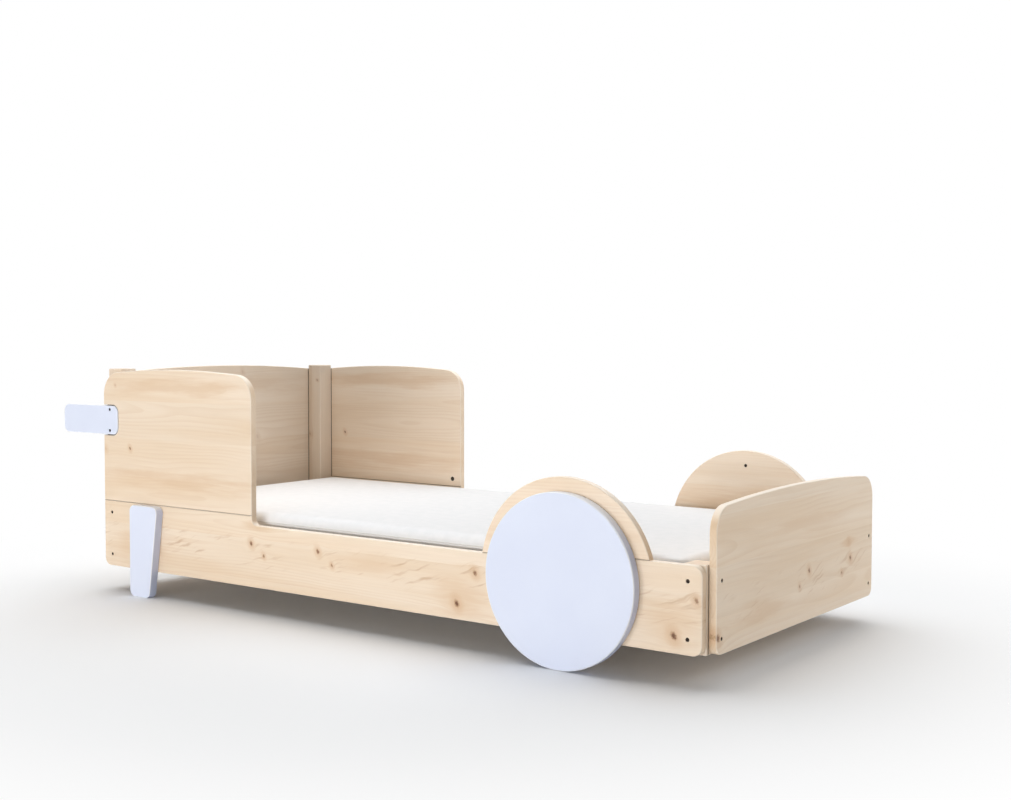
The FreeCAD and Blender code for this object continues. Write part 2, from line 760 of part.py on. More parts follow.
def connector_screw(label, length):
    """Flat-headed connector screw, head up at the origin and point down."""
    head = size("screw_head") / 2
    shank = size("screw_diameter") / 2
    seat = -size("screw_head_height")
    taper = size("screw_tip") - length
    body = turned_profile(label, [
        (0, -length), (shank / 2, -length), (shank, taper), (shank, seat), (head, seat),
        (head, 0), (0, 0)])
    cut_socket(body, size("screw_socket"), size("screw_socket_depth"))
    return body


def wood_screw(label, through):
    """Flat-headed wood screw for a strip of that thickness."""
    head = size("wood_screw_head") / 2
    shank = size("wood_screw_diameter") / 2
    seat = -size("wood_screw_head_height")
    length = through + size("wood_screw_bite")
    taper = shank * 2 - length
    body = turned_profile(label, [
        (0, -length), (shank / 2, -length), (shank, taper), (shank, seat), (head, seat),
        (head, 0), (0, 0)])
    cut_socket(body, size("wood_screw_socket"), size("wood_screw_socket_depth"))
    return body


def dowel(label, length):
    """Grooveless wooden dowel with chamfered ends, from the origin down."""
    radius = size("dowel_diameter") / 2
    chamfer = size("dowel_chamfer")
    return turned_profile(label, [
        (0, -length), (radius - chamfer, -length), (radius, chamfer - length),
        (radius, -chamfer), (radius - chamfer, 0), (0, 0)])


def cam_housing(label):
    """Round cam with a driver slot, its face at the origin."""
    radius = size("cam_diameter") / 2
    depth = size("cam_depth")
    body = turned_profile(label, [(0, -depth), (radius, -depth), (radius, 0), (0, 0)])
    slot = size("cam_slot") / 2
    reach = radius / 2
    sketch = new_sketch(body, "XY_Plane")
    draw_outline(sketch, rectangle(-reach, -slot, reach, slot))
    pocket(body, sketch, "XY_Plane", size("cam_slot_depth"), -1)
    return body


def cam_pin(label):
    """Steel pin screwed into the rail's top edge, reaching up to the cam."""
    radius = size("cam_pin_diameter") / 2
    length = cam_pin_end - rail_top + size("cam_pin_bite")
    return turned_profile(label, [(0, -length), (radius, -length), (radius, 0), (0, 0)])


def fastener_group(label, template, places):
    """Copies of one fastener as a group: each place is a point and the way the tip points."""
    copies = []
    for x, y, z, aim in places:
        copy = doc.addObject("App::Link", f"{label}_copy")
        copy.setLink(template)
        copy.Placement.Rotation = FreeCAD.Rotation(Vector(0, 0, -1), Vector(*aim))
        place(copy, x, y, z)
        copies.append(copy)
    group = doc.addObject("Part::Compound", label)
    group.Label = label
    group.Links = copies
    pieces.append(group)


def sunk_from_outside(side, points):
    """Places of screws driven inwards through a rail or handle."""
    y = at_depth(side, size("screw_recess"))
    return [(head_x + x, y, level, (0, -side, 0)) for x, level in points]


def sunk_from_inside(side, points):
    """Places of screws driven outwards from the rail's inner face."""
    y = at_depth(side, board - size("screw_recess"))
    return [(head_x + x, y, level, (0, side, 0)) for x, level in points]


def panel_screw_places(x, outward, levels):
    """Places of screws driven through an end panel into the posts."""
    face = head_x + x + (board - size("screw_recess")) * outward
    y = half_width - panel_screw_depth
    return [(face, y * side, level, (-outward, 0, 0)) for side in SIDES for level in levels]


def fasteners():
    """All screws, cams, pins and dowels, grouped by what they hold."""
    long_screw = connector_screw("long_screw_template", size("long_screw"))
    short_screw = connector_screw("short_screw_template", size("short_screw"))
    rails = [(x, level) for x in rail_screw_xs for level in rail_screw_levels]
    handles = [(post_middle, level) for level in handle_screw_levels]
    wheels = [(x, wheel_screw_level) for x in wheel_screw_xs] + [(wheel_x, mudguard_screw_level)]

    def both(places_of, points):
        return [item for side in SIDES for item in places_of(side, points)]

    fastener_group("rail_screws", long_screw, both(sunk_from_outside, rails))
    fastener_group("handle_screws", long_screw, both(sunk_from_outside, handles))
    fastener_group("wheel_screws", short_screw, both(sunk_from_inside, wheels))
    fastener_group("leg_screws", short_screw, both(sunk_from_inside, leg_screws))
    head_places = panel_screw_places(as_size(0), -1, head_panel_screw_levels)
    fastener_group("head_panel_screws", long_screw, head_places)
    foot_places = panel_screw_places(bed_length, 1, rail_screw_levels)
    fastener_group("foot_panel_screws", long_screw, foot_places)

    ledger_face = board + size("ledger_width")
    fastener_group("ledger_screws", wood_screw("ledger_screw_template", size("ledger_width")), [
        (head_x + x, at_depth(side, ledger_face), ledger_middle, (0, side, 0))
        for side in SIDES for x in ledger_screw_xs])
    fastener_group("slat_screws", wood_screw("slat_screw_template", size("slat_thickness")), [
        (head_x + x, slat_screw_y * side, slat_top, (0, 0, -1))
        for x in slat_middles for side in SIDES])

    middle = board / 2
    fastener_group("guard_cams", cam_housing("cam_template"), [
        (head_x + cam_x, at_depth(side, board), cam_level, (0, side, 0)) for side in SIDES])
    fastener_group("guard_cam_pins", cam_pin("cam_pin_template"), [
        (head_x + cam_x, at_depth(side, middle), cam_pin_end, (0, 0, -1)) for side in SIDES])
    long_dowel = dowel("dowel_template", size("dowel_length"))
    half_dowel = size("dowel_length") / 2
    fastener_group("guard_dowels", long_dowel, [
        (head_x + x, at_depth(side, middle), rail_top + half_dowel, (0, 0, -1))
        for side in SIDES for x in guard_dowel_xs])
    fastener_group("mudguard_dowels", long_dowel, [
        (head_x + x, at_depth(side, middle), level + half_dowel, (0, 0, -1))
        for side in SIDES for x, level in mudguard_dowels])
    dowel_start = board - size("post_dowel_bite")
    fastener_group("post_dowels", dowel("post_dowel_template", size("post_dowel_length")), [
        (head_x + post_middle, at_depth(side, dowel_start), level, (0, -side, 0))
        for side in SIDES for level in post_dowel_levels])


for hand in SIDES:
    side_rail(hand)
    head_guard(hand)
    head_post(hand)
    foot_post(hand)
    mudguard(hand)
    wheel(hand)
    leg(hand)
    handle(hand)
    slat_ledger(hand)
end_panel("head_panel", as_size(0), -1, size("head_panel_height"), size("head_panel_arch"),
          head_panel_screw_levels)
end_panel("foot_panel", bed_length, 1, size("foot_panel_height"), size("foot_panel_arch"),
          rail_screw_levels)
for slat_number, slat_middle in enumerate(slat_middles, start=1):
    slat(slat_number, slat_middle)
mattress()
fasteners()

doc.recompute()
for item in doc.Objects:
    if "Invalid" in item.State or "Error" in item.State:
        raise ValueError(f"{item.Label} failed: {item.State}")
for piece in pieces:
    if piece.Shape.isNull() or not piece.Shape.isValid():
        raise ValueError(f"{piece.Label} has no valid shape")

os.makedirs("parts", exist_ok=True)
for piece in pieces:
    piece.Shape.exportStep(f"parts/{piece.Label}.step")
    print(piece.Label, len(piece.Shape.Solids), round(piece.Shape.Volume / 1000), "cm3")
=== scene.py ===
import math

import bmesh
import bpy
import numpy as np
from mathutils import Matrix, Vector, noise


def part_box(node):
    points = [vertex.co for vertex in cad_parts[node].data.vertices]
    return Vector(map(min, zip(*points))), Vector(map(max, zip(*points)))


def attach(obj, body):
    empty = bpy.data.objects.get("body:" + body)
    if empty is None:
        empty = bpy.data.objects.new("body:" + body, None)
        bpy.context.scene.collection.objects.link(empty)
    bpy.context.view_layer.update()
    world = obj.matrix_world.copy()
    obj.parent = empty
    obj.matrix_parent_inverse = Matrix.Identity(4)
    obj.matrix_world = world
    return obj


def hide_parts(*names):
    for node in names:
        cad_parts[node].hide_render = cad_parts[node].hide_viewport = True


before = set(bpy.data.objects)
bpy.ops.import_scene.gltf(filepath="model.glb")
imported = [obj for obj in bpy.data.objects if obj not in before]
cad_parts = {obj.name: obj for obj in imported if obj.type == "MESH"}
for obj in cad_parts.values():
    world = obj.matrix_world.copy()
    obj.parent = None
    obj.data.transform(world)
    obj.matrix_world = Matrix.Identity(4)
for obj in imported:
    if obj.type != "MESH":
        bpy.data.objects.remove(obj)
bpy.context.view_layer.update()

# The side rails: edge-glued pine boards on end, planed, eased along the arrises and given a
# satin clear varnish. Each is screwed to a post at both ends, and cut down between guard and
# mudguard so that the child can climb in.
RAIL_KNOTS_RIGHT = (
    (-0.304, 0.207, 0.0090, 0.95), (-0.252, 0.175, 0.0062, 0.80), (-0.035, 0.2085, 0.0090, 0.90),
    (0.018, 0.1745, 0.0062, 0.75), (0.519, 0.206, 0.0095, 0.90), (0.460, 0.121, 0.0118, 1.00),
    (1.154, 0.207, 0.0095, 0.80), (1.095, 0.1205, 0.0123, 1.00))
RAIL_KNOTS_LEFT = (
    (-0.705, 0.143, 0.0084, 0.90), (-0.120, 0.226, 0.0067, 0.70), (0.095, 0.118, 0.0101, 1.00),
    (0.362, 0.171, 0.0073, 0.80), (0.930, 0.133, 0.0090, 0.90), (1.085, 0.219, 0.0062, 0.70))
RAIL_PATCHES_RIGHT = (
    (-0.80, 0.150, 0.170, 0.070, 0.55), (-0.27, 0.258, 0.075, 0.018, 0.6),
    (0.16, 0.190, 0.130, 0.035, 0.4), (0.47, 0.140, 0.110, 0.070, 0.55), (1.08, 0.150, 0.080, 0.060, 0.5))
RAIL_PATCHES_LEFT = (
    (-0.60, 0.180, 0.180, 0.050, 0.5), (0.25, 0.140, 0.150, 0.050, 0.5), (0.95, 0.200, 0.100, 0.050, 0.5))
RAIL_FIGURE_LEVEL = 0.183
NO_FIGURE = 9.0
# How far the painted shade of a joint reaches from it.
JOINT_REACH = 0.0028


def srgb(red, green, blue):
    """A colour as a paint chart gives it, 0 to 255, turned into linear light."""
    shares = [channel / 255 for channel in (red, green, blue)]
    linear = [c / 12.92 if c <= 0.04045 else ((c + 0.055) / 1.055) ** 2.4 for c in shares]
    return (*linear, 1.0)


def put(tree, kind, feeds=None, **settings):
    """Adds a node, sets its properties, and feeds its inputs with numbers or other nodes' outputs."""
    step = tree.nodes.new(kind)
    for name, value in settings.items():
        setattr(step, name, value)
    for name, value in (feeds or {}).items():
        socket = step.inputs[name]
        if isinstance(value, bpy.types.NodeSocket):
            tree.links.new(value, socket)
        else:
            socket.default_value = value
    return step


def reckon(tree, operation, *values):
    """One sum of numbers or outputs."""
    return put(tree, "ShaderNodeMath", dict(enumerate(values)), operation=operation).outputs[0]


def times(tree, a, b):
    """A product."""
    return reckon(tree, "MULTIPLY", a, b)


def minus(tree, a, b):
    """A difference."""
    return reckon(tree, "SUBTRACT", a, b)


def times_plus(tree, a, b, c):
    """A product of two with a third added."""
    return reckon(tree, "MULTIPLY_ADD", a, b, c)


def long_side(tree, a, b):
    """The long side of a right-angled triangle."""
    return reckon(tree, "SQRT", reckon(tree, "ADD", times(tree, a, a), times(tree, b, b)))


def split(tree, vector):
    """The three numbers of a vector."""
    return put(tree, "ShaderNodeSeparateXYZ", {0: vector}).outputs


def join(tree, x=0.0, y=0.0, z=0.0):
    """A vector of three numbers."""
    return put(tree, "ShaderNodeCombineXYZ", {0: x, 1: y, 2: z}).outputs[0]


def reckon_places(tree, operation, *places, outcome=0):
    """One sum of places."""
    return put(tree, "ShaderNodeVectorMath", dict(enumerate(places)), operation=operation).outputs[outcome]


def ramp(tree, value, low, high, start=0.0, end=1.0):
    """Smooth step of a value from low to high."""
    feeds = {"Value": value, "From Min": low, "From Max": high, "To Min": start, "To Max": end}
    return put(tree, "ShaderNodeMapRange", feeds, interpolation_type="SMOOTHSTEP").outputs[0]


def blend_colours(tree, share, under, over, how="MIX"):
    """Lays one colour over another."""
    feeds = {0: share, 6: under, 7: over}
    return put(tree, "ShaderNodeMix", feeds, data_type="RGBA", blend_type=how).outputs[2]


def speckle(tree, place, scale, detail):
    """Noise over a place, as many to the metre as scale says."""
    feeds = {"Vector": place, "Scale": scale, "Detail": detail}
    return put(tree, "ShaderNodeTexNoise", feeds).outputs[0]


def cloud(tree, place, stretch, detail=2.0, roughness=0.5, shift=0.0):
    """Noise over a place (along, up, through) that is stretched by three factors."""
    along, up, through = place
    vector = join(tree, times_plus(tree, along, stretch[0], shift), times(tree, up, stretch[1]),
                  times(tree, through, stretch[2]))
    feeds = {"Vector": vector, "Scale": 1.0, "Detail": detail, "Roughness": roughness}
    return put(tree, "ShaderNodeTexNoise", feeds).outputs[0]


def new_group(name, kind, inputs, outputs):
    """An empty node group, what it is given, and its end. A socket takes a number unless it says so."""
    group = bpy.data.node_groups.new(name, kind)
    for way, sockets in (("INPUT", inputs), ("OUTPUT", outputs)):
        for socket in sockets:
            label, takes = (socket, "Float") if isinstance(socket, str) else socket
            group.interface.new_socket(label, in_out=way, socket_type=f"NodeSocket{takes}")
    return group, group.nodes.new("NodeGroupInput").outputs, group.nodes.new("NodeGroupOutput")


def deliver(tree, end, sockets):
    """Links outputs to the inputs of a last node by name."""
    for name, socket in sockets.items():
        tree.links.new(socket, end.inputs[name])


def make_pine_figure():
    """The growth of a glued board: staves of their own tone, streaks, late-wood lines and fibre."""
    stave_height, pith_depth, rings_per_metre = 0.118, 0.022, 120.0
    cream, honey = srgb(244, 226, 204), srgb(234, 209, 179)
    late, shade = srgb(219, 187, 152), srgb(202, 164, 126)
    late_share, stroke_share = 0.24, 0.64
    tree, given, end = new_group(
        "pine_figure", "ShaderNodeTree", [("Place", "Vector"), "Board", "Figure Level"],
        [("Colour", "Color"), "Grain", "Late Wood"])
    along, up, through = split(tree, given["Place"])
    board = given["Board"]
    height = reckon(tree, "DIVIDE", times_plus(tree, board, 0.37, up), stave_height)
    key = join(tree, reckon(tree, "FLOOR", height), board)
    chance = put(tree, "ShaderNodeTexWhiteNoise", {"Vector": key}, noise_dimensions="2D")
    first, second, third = split(tree, chance.outputs["Color"])
    place = (times_plus(tree, first, 9.0, along), times_plus(tree, second, 3.0, up),
             times_plus(tree, third, 2.0, through))

    streak = ramp(tree, cloud(tree, place, (1.2, 17.0, 17.0), 3.0, 0.55), 0.36, 0.70)
    wide = ramp(tree, cloud(tree, place, (0.8, 6.0, 6.0), 1.0), 0.35, 0.68)
    in_stave = times(tree, minus(tree, reckon(tree, "FRACT", height), first), stave_height)
    depth = times_plus(tree, second, 0.05, reckon(tree, "ADD", through, pith_depth))
    wander = minus(tree, cloud(tree, place, (1.5, 5.0, 5.0), 2.0), 0.5)
    radius = times_plus(tree, wander, 0.055, long_side(tree, in_stave, depth))
    rings = reckon(tree, "FRACT", times(tree, radius, rings_per_metre))
    line = times(tree, ramp(tree, rings, 0.30, 0.90), ramp(tree, rings, 1.0, 0.93))
    strength = ramp(tree, cloud(tree, place, (1.9, 12.0, 12.0), 1.0), 0.38, 0.66, 0.12, 1.0)
    line = times(tree, line, strength)
    fibre = cloud(tree, place, (11.0, 620.0, 620.0), 2.0)

    lean = math.radians(17)
    lean_cos, lean_sin = math.cos(lean), math.sin(lean)
    curl = minus(tree, cloud(tree, (along, up, through), (24.0, 30.0, 9.0), 1.0, 0.5, 5.3), 0.5)
    curled = times_plus(tree, curl, 0.016, up)
    leaning = (times_plus(tree, along, lean_cos, times(tree, curled, lean_sin)),
               times_plus(tree, curled, lean_cos, times(tree, along, -lean_sin)), through)
    strokes = ramp(tree, cloud(tree, leaning, (11.0, 105.0, 20.0), 2.0, 0.5, 3.1), 0.53, 0.76)
    off_level = reckon(tree, "ABSOLUTE", minus(tree, up, given["Figure Level"]))
    in_band = ramp(tree, off_level, 0.058, 0.022)
    in_patch = ramp(tree, cloud(tree, (along, up, through), (6.5, 9.0, 4.0), 1.0, 0.5, 1.7), 0.41, 0.54)
    strokes = times(tree, strokes, times(tree, in_band, in_patch))

    tone = times_plus(tree, streak, 0.55, times(tree, wide, 0.35))
    colour = blend_colours(tree, tone, cream, honey)
    colour = blend_colours(tree, times(tree, line, late_share), colour, late)
    colour = blend_colours(tree, times(tree, strokes, stroke_share), colour, shade)
    value = reckon(tree, "ADD", times_plus(tree, fibre, 0.09, 0.938), times(tree, third, 0.035))
    colour = put(tree, "ShaderNodeHueSaturation", {"Color": colour, "Value": value}).outputs[0]
    deliver(tree, end, {"Colour": colour, "Grain": fibre, "Late Wood": line})
    return tree


def make_knot():
    """One branch grown into a board: it bends the grain about it and adds to the dark and the tan."""
    tree, given, end = new_group(
        "pine_knot", "ShaderNodeTree",
        [("Place", "Vector"), ("Bent", "Vector"), "Along", "Up", "Size", "Darkness", "Core", "Halo"],
        [("Bent", "Vector"), "Core", "Halo"])
    along, up = split(tree, given["Place"])[:2]
    beside = reckon(tree, "DIVIDE", minus(tree, along, given["Along"]), given["Size"])
    above = reckon(tree, "DIVIDE", minus(tree, up, given["Up"]), given["Size"])
    across = times(tree, times_plus(tree, above, 0.25, beside), 1.25)
    ragged = minus(tree, speckle(tree, given["Place"], 230.0, 2.0), 0.5)
    distance = times_plus(tree, ragged, 0.9, long_side(tree, across, above))
    spread = times_plus(tree, times(tree, beside, beside), -0.09,
                        times(tree, times(tree, above, above), -0.2))
    push = times(tree, reckon(tree, "EXPONENT", spread), -0.85)
    lift = times(tree, times(tree, above, given["Size"]), push)
    bent = reckon_places(tree, "ADD", given["Bent"], join(tree, y=lift))
    core = times(tree, ramp(tree, distance, 1.12, 0.28), given["Darkness"])
    halo = times(tree, ramp(tree, distance, 3.2, 0.8), times_plus(tree, given["Darkness"], 0.5, 0.5))
    deliver(tree, end, {
        "Bent": bent, "Core": reckon(tree, "MAXIMUM", given["Core"], core),
        "Halo": reckon(tree, "MAXIMUM", given["Halo"], halo)})
    return tree


def make_tan_patch():
    """A stretch of warmer wood with a soft, streaky border."""
    tree, given, end = new_group(
        "tan_patch", "ShaderNodeTree",
        [("Place", "Vector"), "Along", "Up", "Half Along", "Half Up", "Share", "Tan"], ["Tan"])
    place = split(tree, given["Place"])
    streaks = cloud(tree, place, (5.0, 46.0, 20.0), 3.0, 0.6)
    beside, above = (
        reckon(tree, "DIVIDE", minus(tree, place[number], given[name]), given[f"Half {name}"])
        for number, name in enumerate(("Along", "Up")))
    ragged = times_plus(tree, minus(tree, 0.5, streaks), 2.4, long_side(tree, beside, above))
    tan = times(tree, ramp(tree, ragged, 1.25, 0.05), given["Share"])
    deliver(tree, end, {"Tan": reckon(tree, "MAXIMUM", given["Tan"], tan)})
    return tree


def make_painted_joint_shade():
    """Painted shade in the narrow joint round a bar with rounded edges: a line where the bar has no height.
    """
    tree, given, end = new_group(
        "painted_joint_shade", "ShaderNodeTree",
        [("Place", "Vector"), ("Middle", "Vector"), ("Half", "Vector"), "Corner", "Reach", "Shade"],
        ["Shade"])
    offset = reckon_places(tree, "ABSOLUTE", reckon_places(tree, "SUBTRACT", given["Place"], given["Middle"]))
    beyond = reckon_places(tree, "SUBTRACT", offset, given["Half"])
    beyond = reckon_places(tree, "MAXIMUM", beyond, (0.0, 0.0, 0.0))
    distance = reckon_places(tree, "LENGTH", beyond, outcome="Value")
    gap = reckon(tree, "DIVIDE", minus(tree, distance, given["Corner"]), given["Reach"])
    on_face = reckon(tree, "LESS_THAN", split(tree, beyond)[1], given["Reach"])
    shade = times(tree, on_face, minus(tree, 1.0, ramp(tree, gap, 0.35, 1.0)))
    deliver(tree, end, {"Shade": reckon(tree, "MAXIMUM", given["Shade"], shade)})
    return tree


def chain(tree, group, feeds):
    """Adds one use of a node group and feeds it."""
    return put(tree, "ShaderNodeGroup", feeds, node_tree=group).outputs


def arris(tree, facing):
    """1 on the rounding between a face and an edge, from how squarely it faces through the board."""
    square = reckon(tree, "ABSOLUTE", facing)
    return times(tree, ramp(tree, square, 0.12, 0.40), ramp(tree, square, 0.985, 0.86))


def new_material(name):
    """A material, its tree and its shader."""
    material = bpy.data.materials.new(name)
    material.use_nodes = True
    return material, material.node_tree, material.node_tree.nodes["Principled BSDF"]


def coat(tree, shader, colour, roughness, relief, strength, depth, specular=0.5):
    """Links colour, roughness and a fine relief to a shader."""
    bump = put(tree, "ShaderNodeBump", {"Strength": strength, "Distance": depth, "Height": relief})
    deliver(tree, shader, {"Base Color": colour, "Roughness": roughness, "Normal": bump.outputs[0]})
    shader.inputs["Specular IOR Level"].default_value = specular


pine_figure = make_pine_figure()
pine_knot = make_knot()
tan_patch = make_tan_patch()
painted_joint_shade = make_painted_joint_shade()


def pine(name, board, axes, middle, knots=(), figure_level=NO_FIGURE, patches=(), joints=(),
           tone=(1.0, 1.0)):
    """Varnished pine for one board. axes says which way the grain, the face and the thickness run.

    A knot has its place along and up, size and darkness; a patch its place, half sizes and share;
    a joint, where a line of painted shade darkens the gap, its middle, half sizes and corner radius;
    and the tone is saturation and value.
    """
    tan_wood, halo_wood = srgb(224, 191, 155), srgb(212, 169, 124)
    knot_rim, knot_heart = srgb(176, 126, 86), srgb(112, 72, 46)
    end_grain, painted_highlight_wood, painted_joint_shadow = srgb(232, 221, 206), srgb(251, 241, 227), srgb(92, 70, 50)
    material, tree, shader = new_material(name)
    here = put(tree, "ShaderNodeTexCoord").outputs
    parts = split(tree, here["Object"])
    along, up, through = (parts["xyz".index(axis)] for axis in axes)
    place = join(tree, along, up, minus(tree, through, middle))
    bent, core, halo = place, 0.0, 0.0
    for knot_along, knot_up, size, darkness in knots:
        bent, core, halo = chain(tree, pine_knot, {
            "Place": place, "Bent": bent, "Along": knot_along, "Up": knot_up, "Size": size,
            "Darkness": darkness, "Core": core, "Halo": halo})
    figure = chain(tree, pine_figure, {"Place": bent, "Board": board, "Figure Level": figure_level})
    colour = figure["Colour"]
    tan, shade = 0.0, 0.0
    for patch_along, patch_up, half_along, half_up, share in patches:
        tan = chain(tree, tan_patch, {
            "Place": bent, "Along": patch_along, "Up": patch_up, "Half Along": half_along,
            "Half Up": half_up, "Share": share, "Tan": tan})[0]
    if patches:
        colour = blend_colours(tree, tan, colour, tan_wood)
    if knots:
        colour = blend_colours(tree, times(tree, halo, 0.42), colour, halo_wood)
        heart = blend_colours(tree, reckon(tree, "POWER", core, 2.2), knot_rim, knot_heart)
        colour = blend_colours(tree, core, colour, heart)
    colour = put(tree, "ShaderNodeHueSaturation", {
        "Color": colour, "Saturation": tone[0], "Value": tone[1]}).outputs[0]
    facing = split(tree, here["Normal"])
    cut_end = ramp(tree, reckon(tree, "ABSOLUTE", facing["xyz".index(axes[0])]), 0.75, 0.98, 0.0, 0.4)
    colour = blend_colours(tree, cut_end, colour, end_grain, "MULTIPLY")
    # Painted highlight: the rounded arrises, and the upward faces of boards whose grain lies flat, are mixed
    # toward a pale wood colour where the overhead light falls on them.
    pale = times(tree, arris(tree, facing["xyz".index(axes[2])]), 0.4)
    if axes[0] != "z":
        pale = reckon(tree, "MAXIMUM", pale, ramp(tree, facing[2], 0.3, 0.95, 0.0, 0.6))
    colour = blend_colours(tree, pale, colour, painted_highlight_wood)
    # Painted shade: a dark line along each joint between parts, where the gap would lie in shadow.
    for joint_middle, half, corner in joints:
        shade = chain(tree, painted_joint_shade, {
            "Place": here["Object"], "Middle": joint_middle, "Half": half, "Corner": corner,
            "Reach": JOINT_REACH, "Shade": shade})[0]
    if joints:
        colour = blend_colours(tree, times(tree, shade, 0.85), colour, painted_joint_shadow)
    gloss = times_plus(tree, figure["Grain"], 0.16, 0.36)
    relief = times_plus(tree, figure["Late Wood"], 0.5, figure["Grain"])
    coat(tree, shader, colour, gloss, relief, 0.16, 0.0004, 0.4)
    return material


def finish_node(node, material):
    """Gives a CAD node its finish."""
    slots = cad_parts[node].data.materials
    slots.clear()
    slots.append(material)


def middle_of(node, axis):
    """The middle of a CAD node along an axis."""
    low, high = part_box(node)
    return (low[axis] + high[axis]) / 2


def finish_board(node, board, axes, *looks, **more_looks):
    """Gives a CAD board pine of its own."""
    middle = middle_of(node, "xyz".index(axes[2]))
    finish_node(node, pine(f"pine_{node}", board, axes, middle, *looks, **more_looks))


finish_board("side_rail_right", 1.0, "xzy", RAIL_KNOTS_RIGHT, RAIL_FIGURE_LEVEL, RAIL_PATCHES_RIGHT)
finish_board("side_rail_left", 2.0, "xzy", RAIL_KNOTS_LEFT, RAIL_FIGURE_LEVEL, RAIL_PATCHES_LEFT)

# The corner posts: square pine, planed on four sides with rounded arrises. Rails, guards and
# handles are screwed to their sides, and the end panels to their ends.
HEAD_POST_KNOTS = ((0.450, -0.975, 0.0070, 0.35), (0.651, -0.936, 0.0045, 0.70))
ENDLESS = 9.0


def joint_line(x, y, z, half_x=0.0, half_z=0.0):
    """A straight joint along or up a board, where pine paints a line of shade, as pine takes it."""
    return (x, y, z), (half_x, 0.0, half_z), 0.0


for number, side in enumerate(("right", "left")):
    for end, knots, tone in (("head", HEAD_POST_KNOTS, (0.84, 0.94)), ("foot", (), (0.9, 0.97))):
        post = f"{end}_post_{side}"
        board = 11.0 + number * 3.0 + len(knots)
        outer_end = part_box(post)[end == "foot"].x
        # Painted shade: a dark line up the post's end where it meets the end panel.
        joints = [joint_line(outer_end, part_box(f"{end}_panel")[number].y, 0.0, half_z=ENDLESS)]
        finish_board(post, board, "zxy", knots, joints=joints, tone=tone)

# The head guards: arched pine boards that stand on the rails beside the pillow, on dowels and
# one cam each, and are notched at the head edge for the handle.
GUARD_KNOTS = ((-0.852, 0.458, 0.0067, 0.95), (-0.923, 0.6555, 0.0042, 0.35), (-0.973, 0.4515, 0.0075, 0.2))
GUARD_PATCHES = ((-0.64, 0.655, 0.42, 0.030, 0.6), (-0.64, 0.368, 0.50, 0.034, 0.6))
HANDLE_CORNER, SEAT_GAP = 0.024, 0.0013
for side, board, inner, tone in (("right", 21.0, 1, (1.0, 0.99)), ("left", 24.0, 0, (0.9, 1.07))):
    guard = f"head_guard_{side}"
    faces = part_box(guard)
    # Painted shade: dark lines along the guard's foot on the rail, beside the head post on the inner face,
    # and round the handle's seat.
    joints = [joint_line(0.0, face.y, faces[0].z, half_x=ENDLESS) for face in faces]
    joints.append(joint_line(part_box(f"head_post_{side}")[1].x, faces[inner].y, 0.0, half_z=ENDLESS))
    handle_low, handle_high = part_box(f"handle_{side}")
    seat_half = (handle_high - handle_low) / 2
    joints.append(((handle_low + handle_high) / 2, (
        seat_half.x - HANDLE_CORNER, seat_half.y, seat_half.z - HANDLE_CORNER), HANDLE_CORNER + SEAT_GAP))
    finish_board(guard, board, "xzy", GUARD_KNOTS, NO_FIGURE, GUARD_PATCHES, joints, tone)

# The end panels: arched pine boards across the head and the foot, grain from side to side,
# screwed to the outside of the posts.
HEAD_PANEL_KNOTS = (
    (0.161, 0.453, 0.0090, 0.15), (0.092, 0.688, 0.0070, 0.2), (-0.285, 0.236, 0.0084, 0.90),
    (-0.102, 0.562, 0.0067, 0.70))
FOOT_PANEL_KNOTS = (
    (0.038, 0.207, 0.0090, 0.85), (0.310, 0.205, 0.0090, 0.90), (0.2516, 0.172, 0.0062, 0.70),
    (-0.0197, 0.174, 0.0062, 0.65), (-0.462, 0.1202, 0.0118, 0.90), (0.298, 0.2506, 0.0080, 0.1))
HEAD_PANEL_PATCHES = ((0.10, 0.640, 0.45, 0.035, 0.5), (-0.15, 0.350, 0.40, 0.050, 0.5))
FOOT_PANEL_PATCHES = (
    (0.298, 0.2506, 0.060, 0.012, 0.75), (-0.24, 0.150, 0.160, 0.035, 0.5), (0.02, 0.330, 0.300, 0.025, 0.4))
for end, inner, board, knots, level, patches, tone in (
        ("head", 1, 31.0, HEAD_PANEL_KNOTS, NO_FIGURE, HEAD_PANEL_PATCHES, (0.84, 0.95)),
        ("foot", 0, 34.0, FOOT_PANEL_KNOTS, RAIL_FIGURE_LEVEL, FOOT_PANEL_PATCHES, (1.06, 1.0))):
    panel = f"{end}_panel"
    # Painted shade: a dark line up the panel's inner face along the edge of each post.
    joints = []
    for number, side in ((1, "right"), (0, "left")):
        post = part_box(f"{end}_post_{side}")
        post_half = (post[1].z - post[0].z) / 2
        joints.append(joint_line(
            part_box(panel)[inner].x, post[number].y, post[0].z + post_half, half_z=post_half))
    finish_board(panel, board, "yzx", knots, level, patches, joints, tone)

# The mudguards: part discs of pine that stand on the rails behind the wheels, on dowels, with
# one screw each into the wheel.
MUDGUARD_PATCHES = ((0.70, 0.310, 0.220, 0.045, 0.6), (0.90, 0.345, 0.150, 0.030, 0.4))
# Both mudguards are toned lighter; on the far (left) one the extra lightness is painted light, for the front
# light that the near mudguard blocks.
for side, board, tone in (("right", 41.0, (1.0, 1.05)), ("left", 44.0, (0.98, 1.10))):
    mudguard = f"mudguard_{side}"
    low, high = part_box(mudguard)
    stand_x = (high.x + middle_of(f"wheel_{side}", 0)) / 2
    stand_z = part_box(f"side_rail_{side}")[1].z
    # Painted shade: dark lines where each mudguard stands on the rail, along its foot and, toward the foot
    # beyond the wheel's middle, at the rail's top.
    joints = [joint_line(0.0, face, low.z, half_x=ENDLESS) for face in (low.y, high.y)]
    joints += [joint_line(stand_x, face, stand_z, half_x=high.x - stand_x) for face in (low.y, high.y)]
    finish_board(mudguard, board, "xzy", (), NO_FIGURE, MUDGUARD_PATCHES, joints, tone)

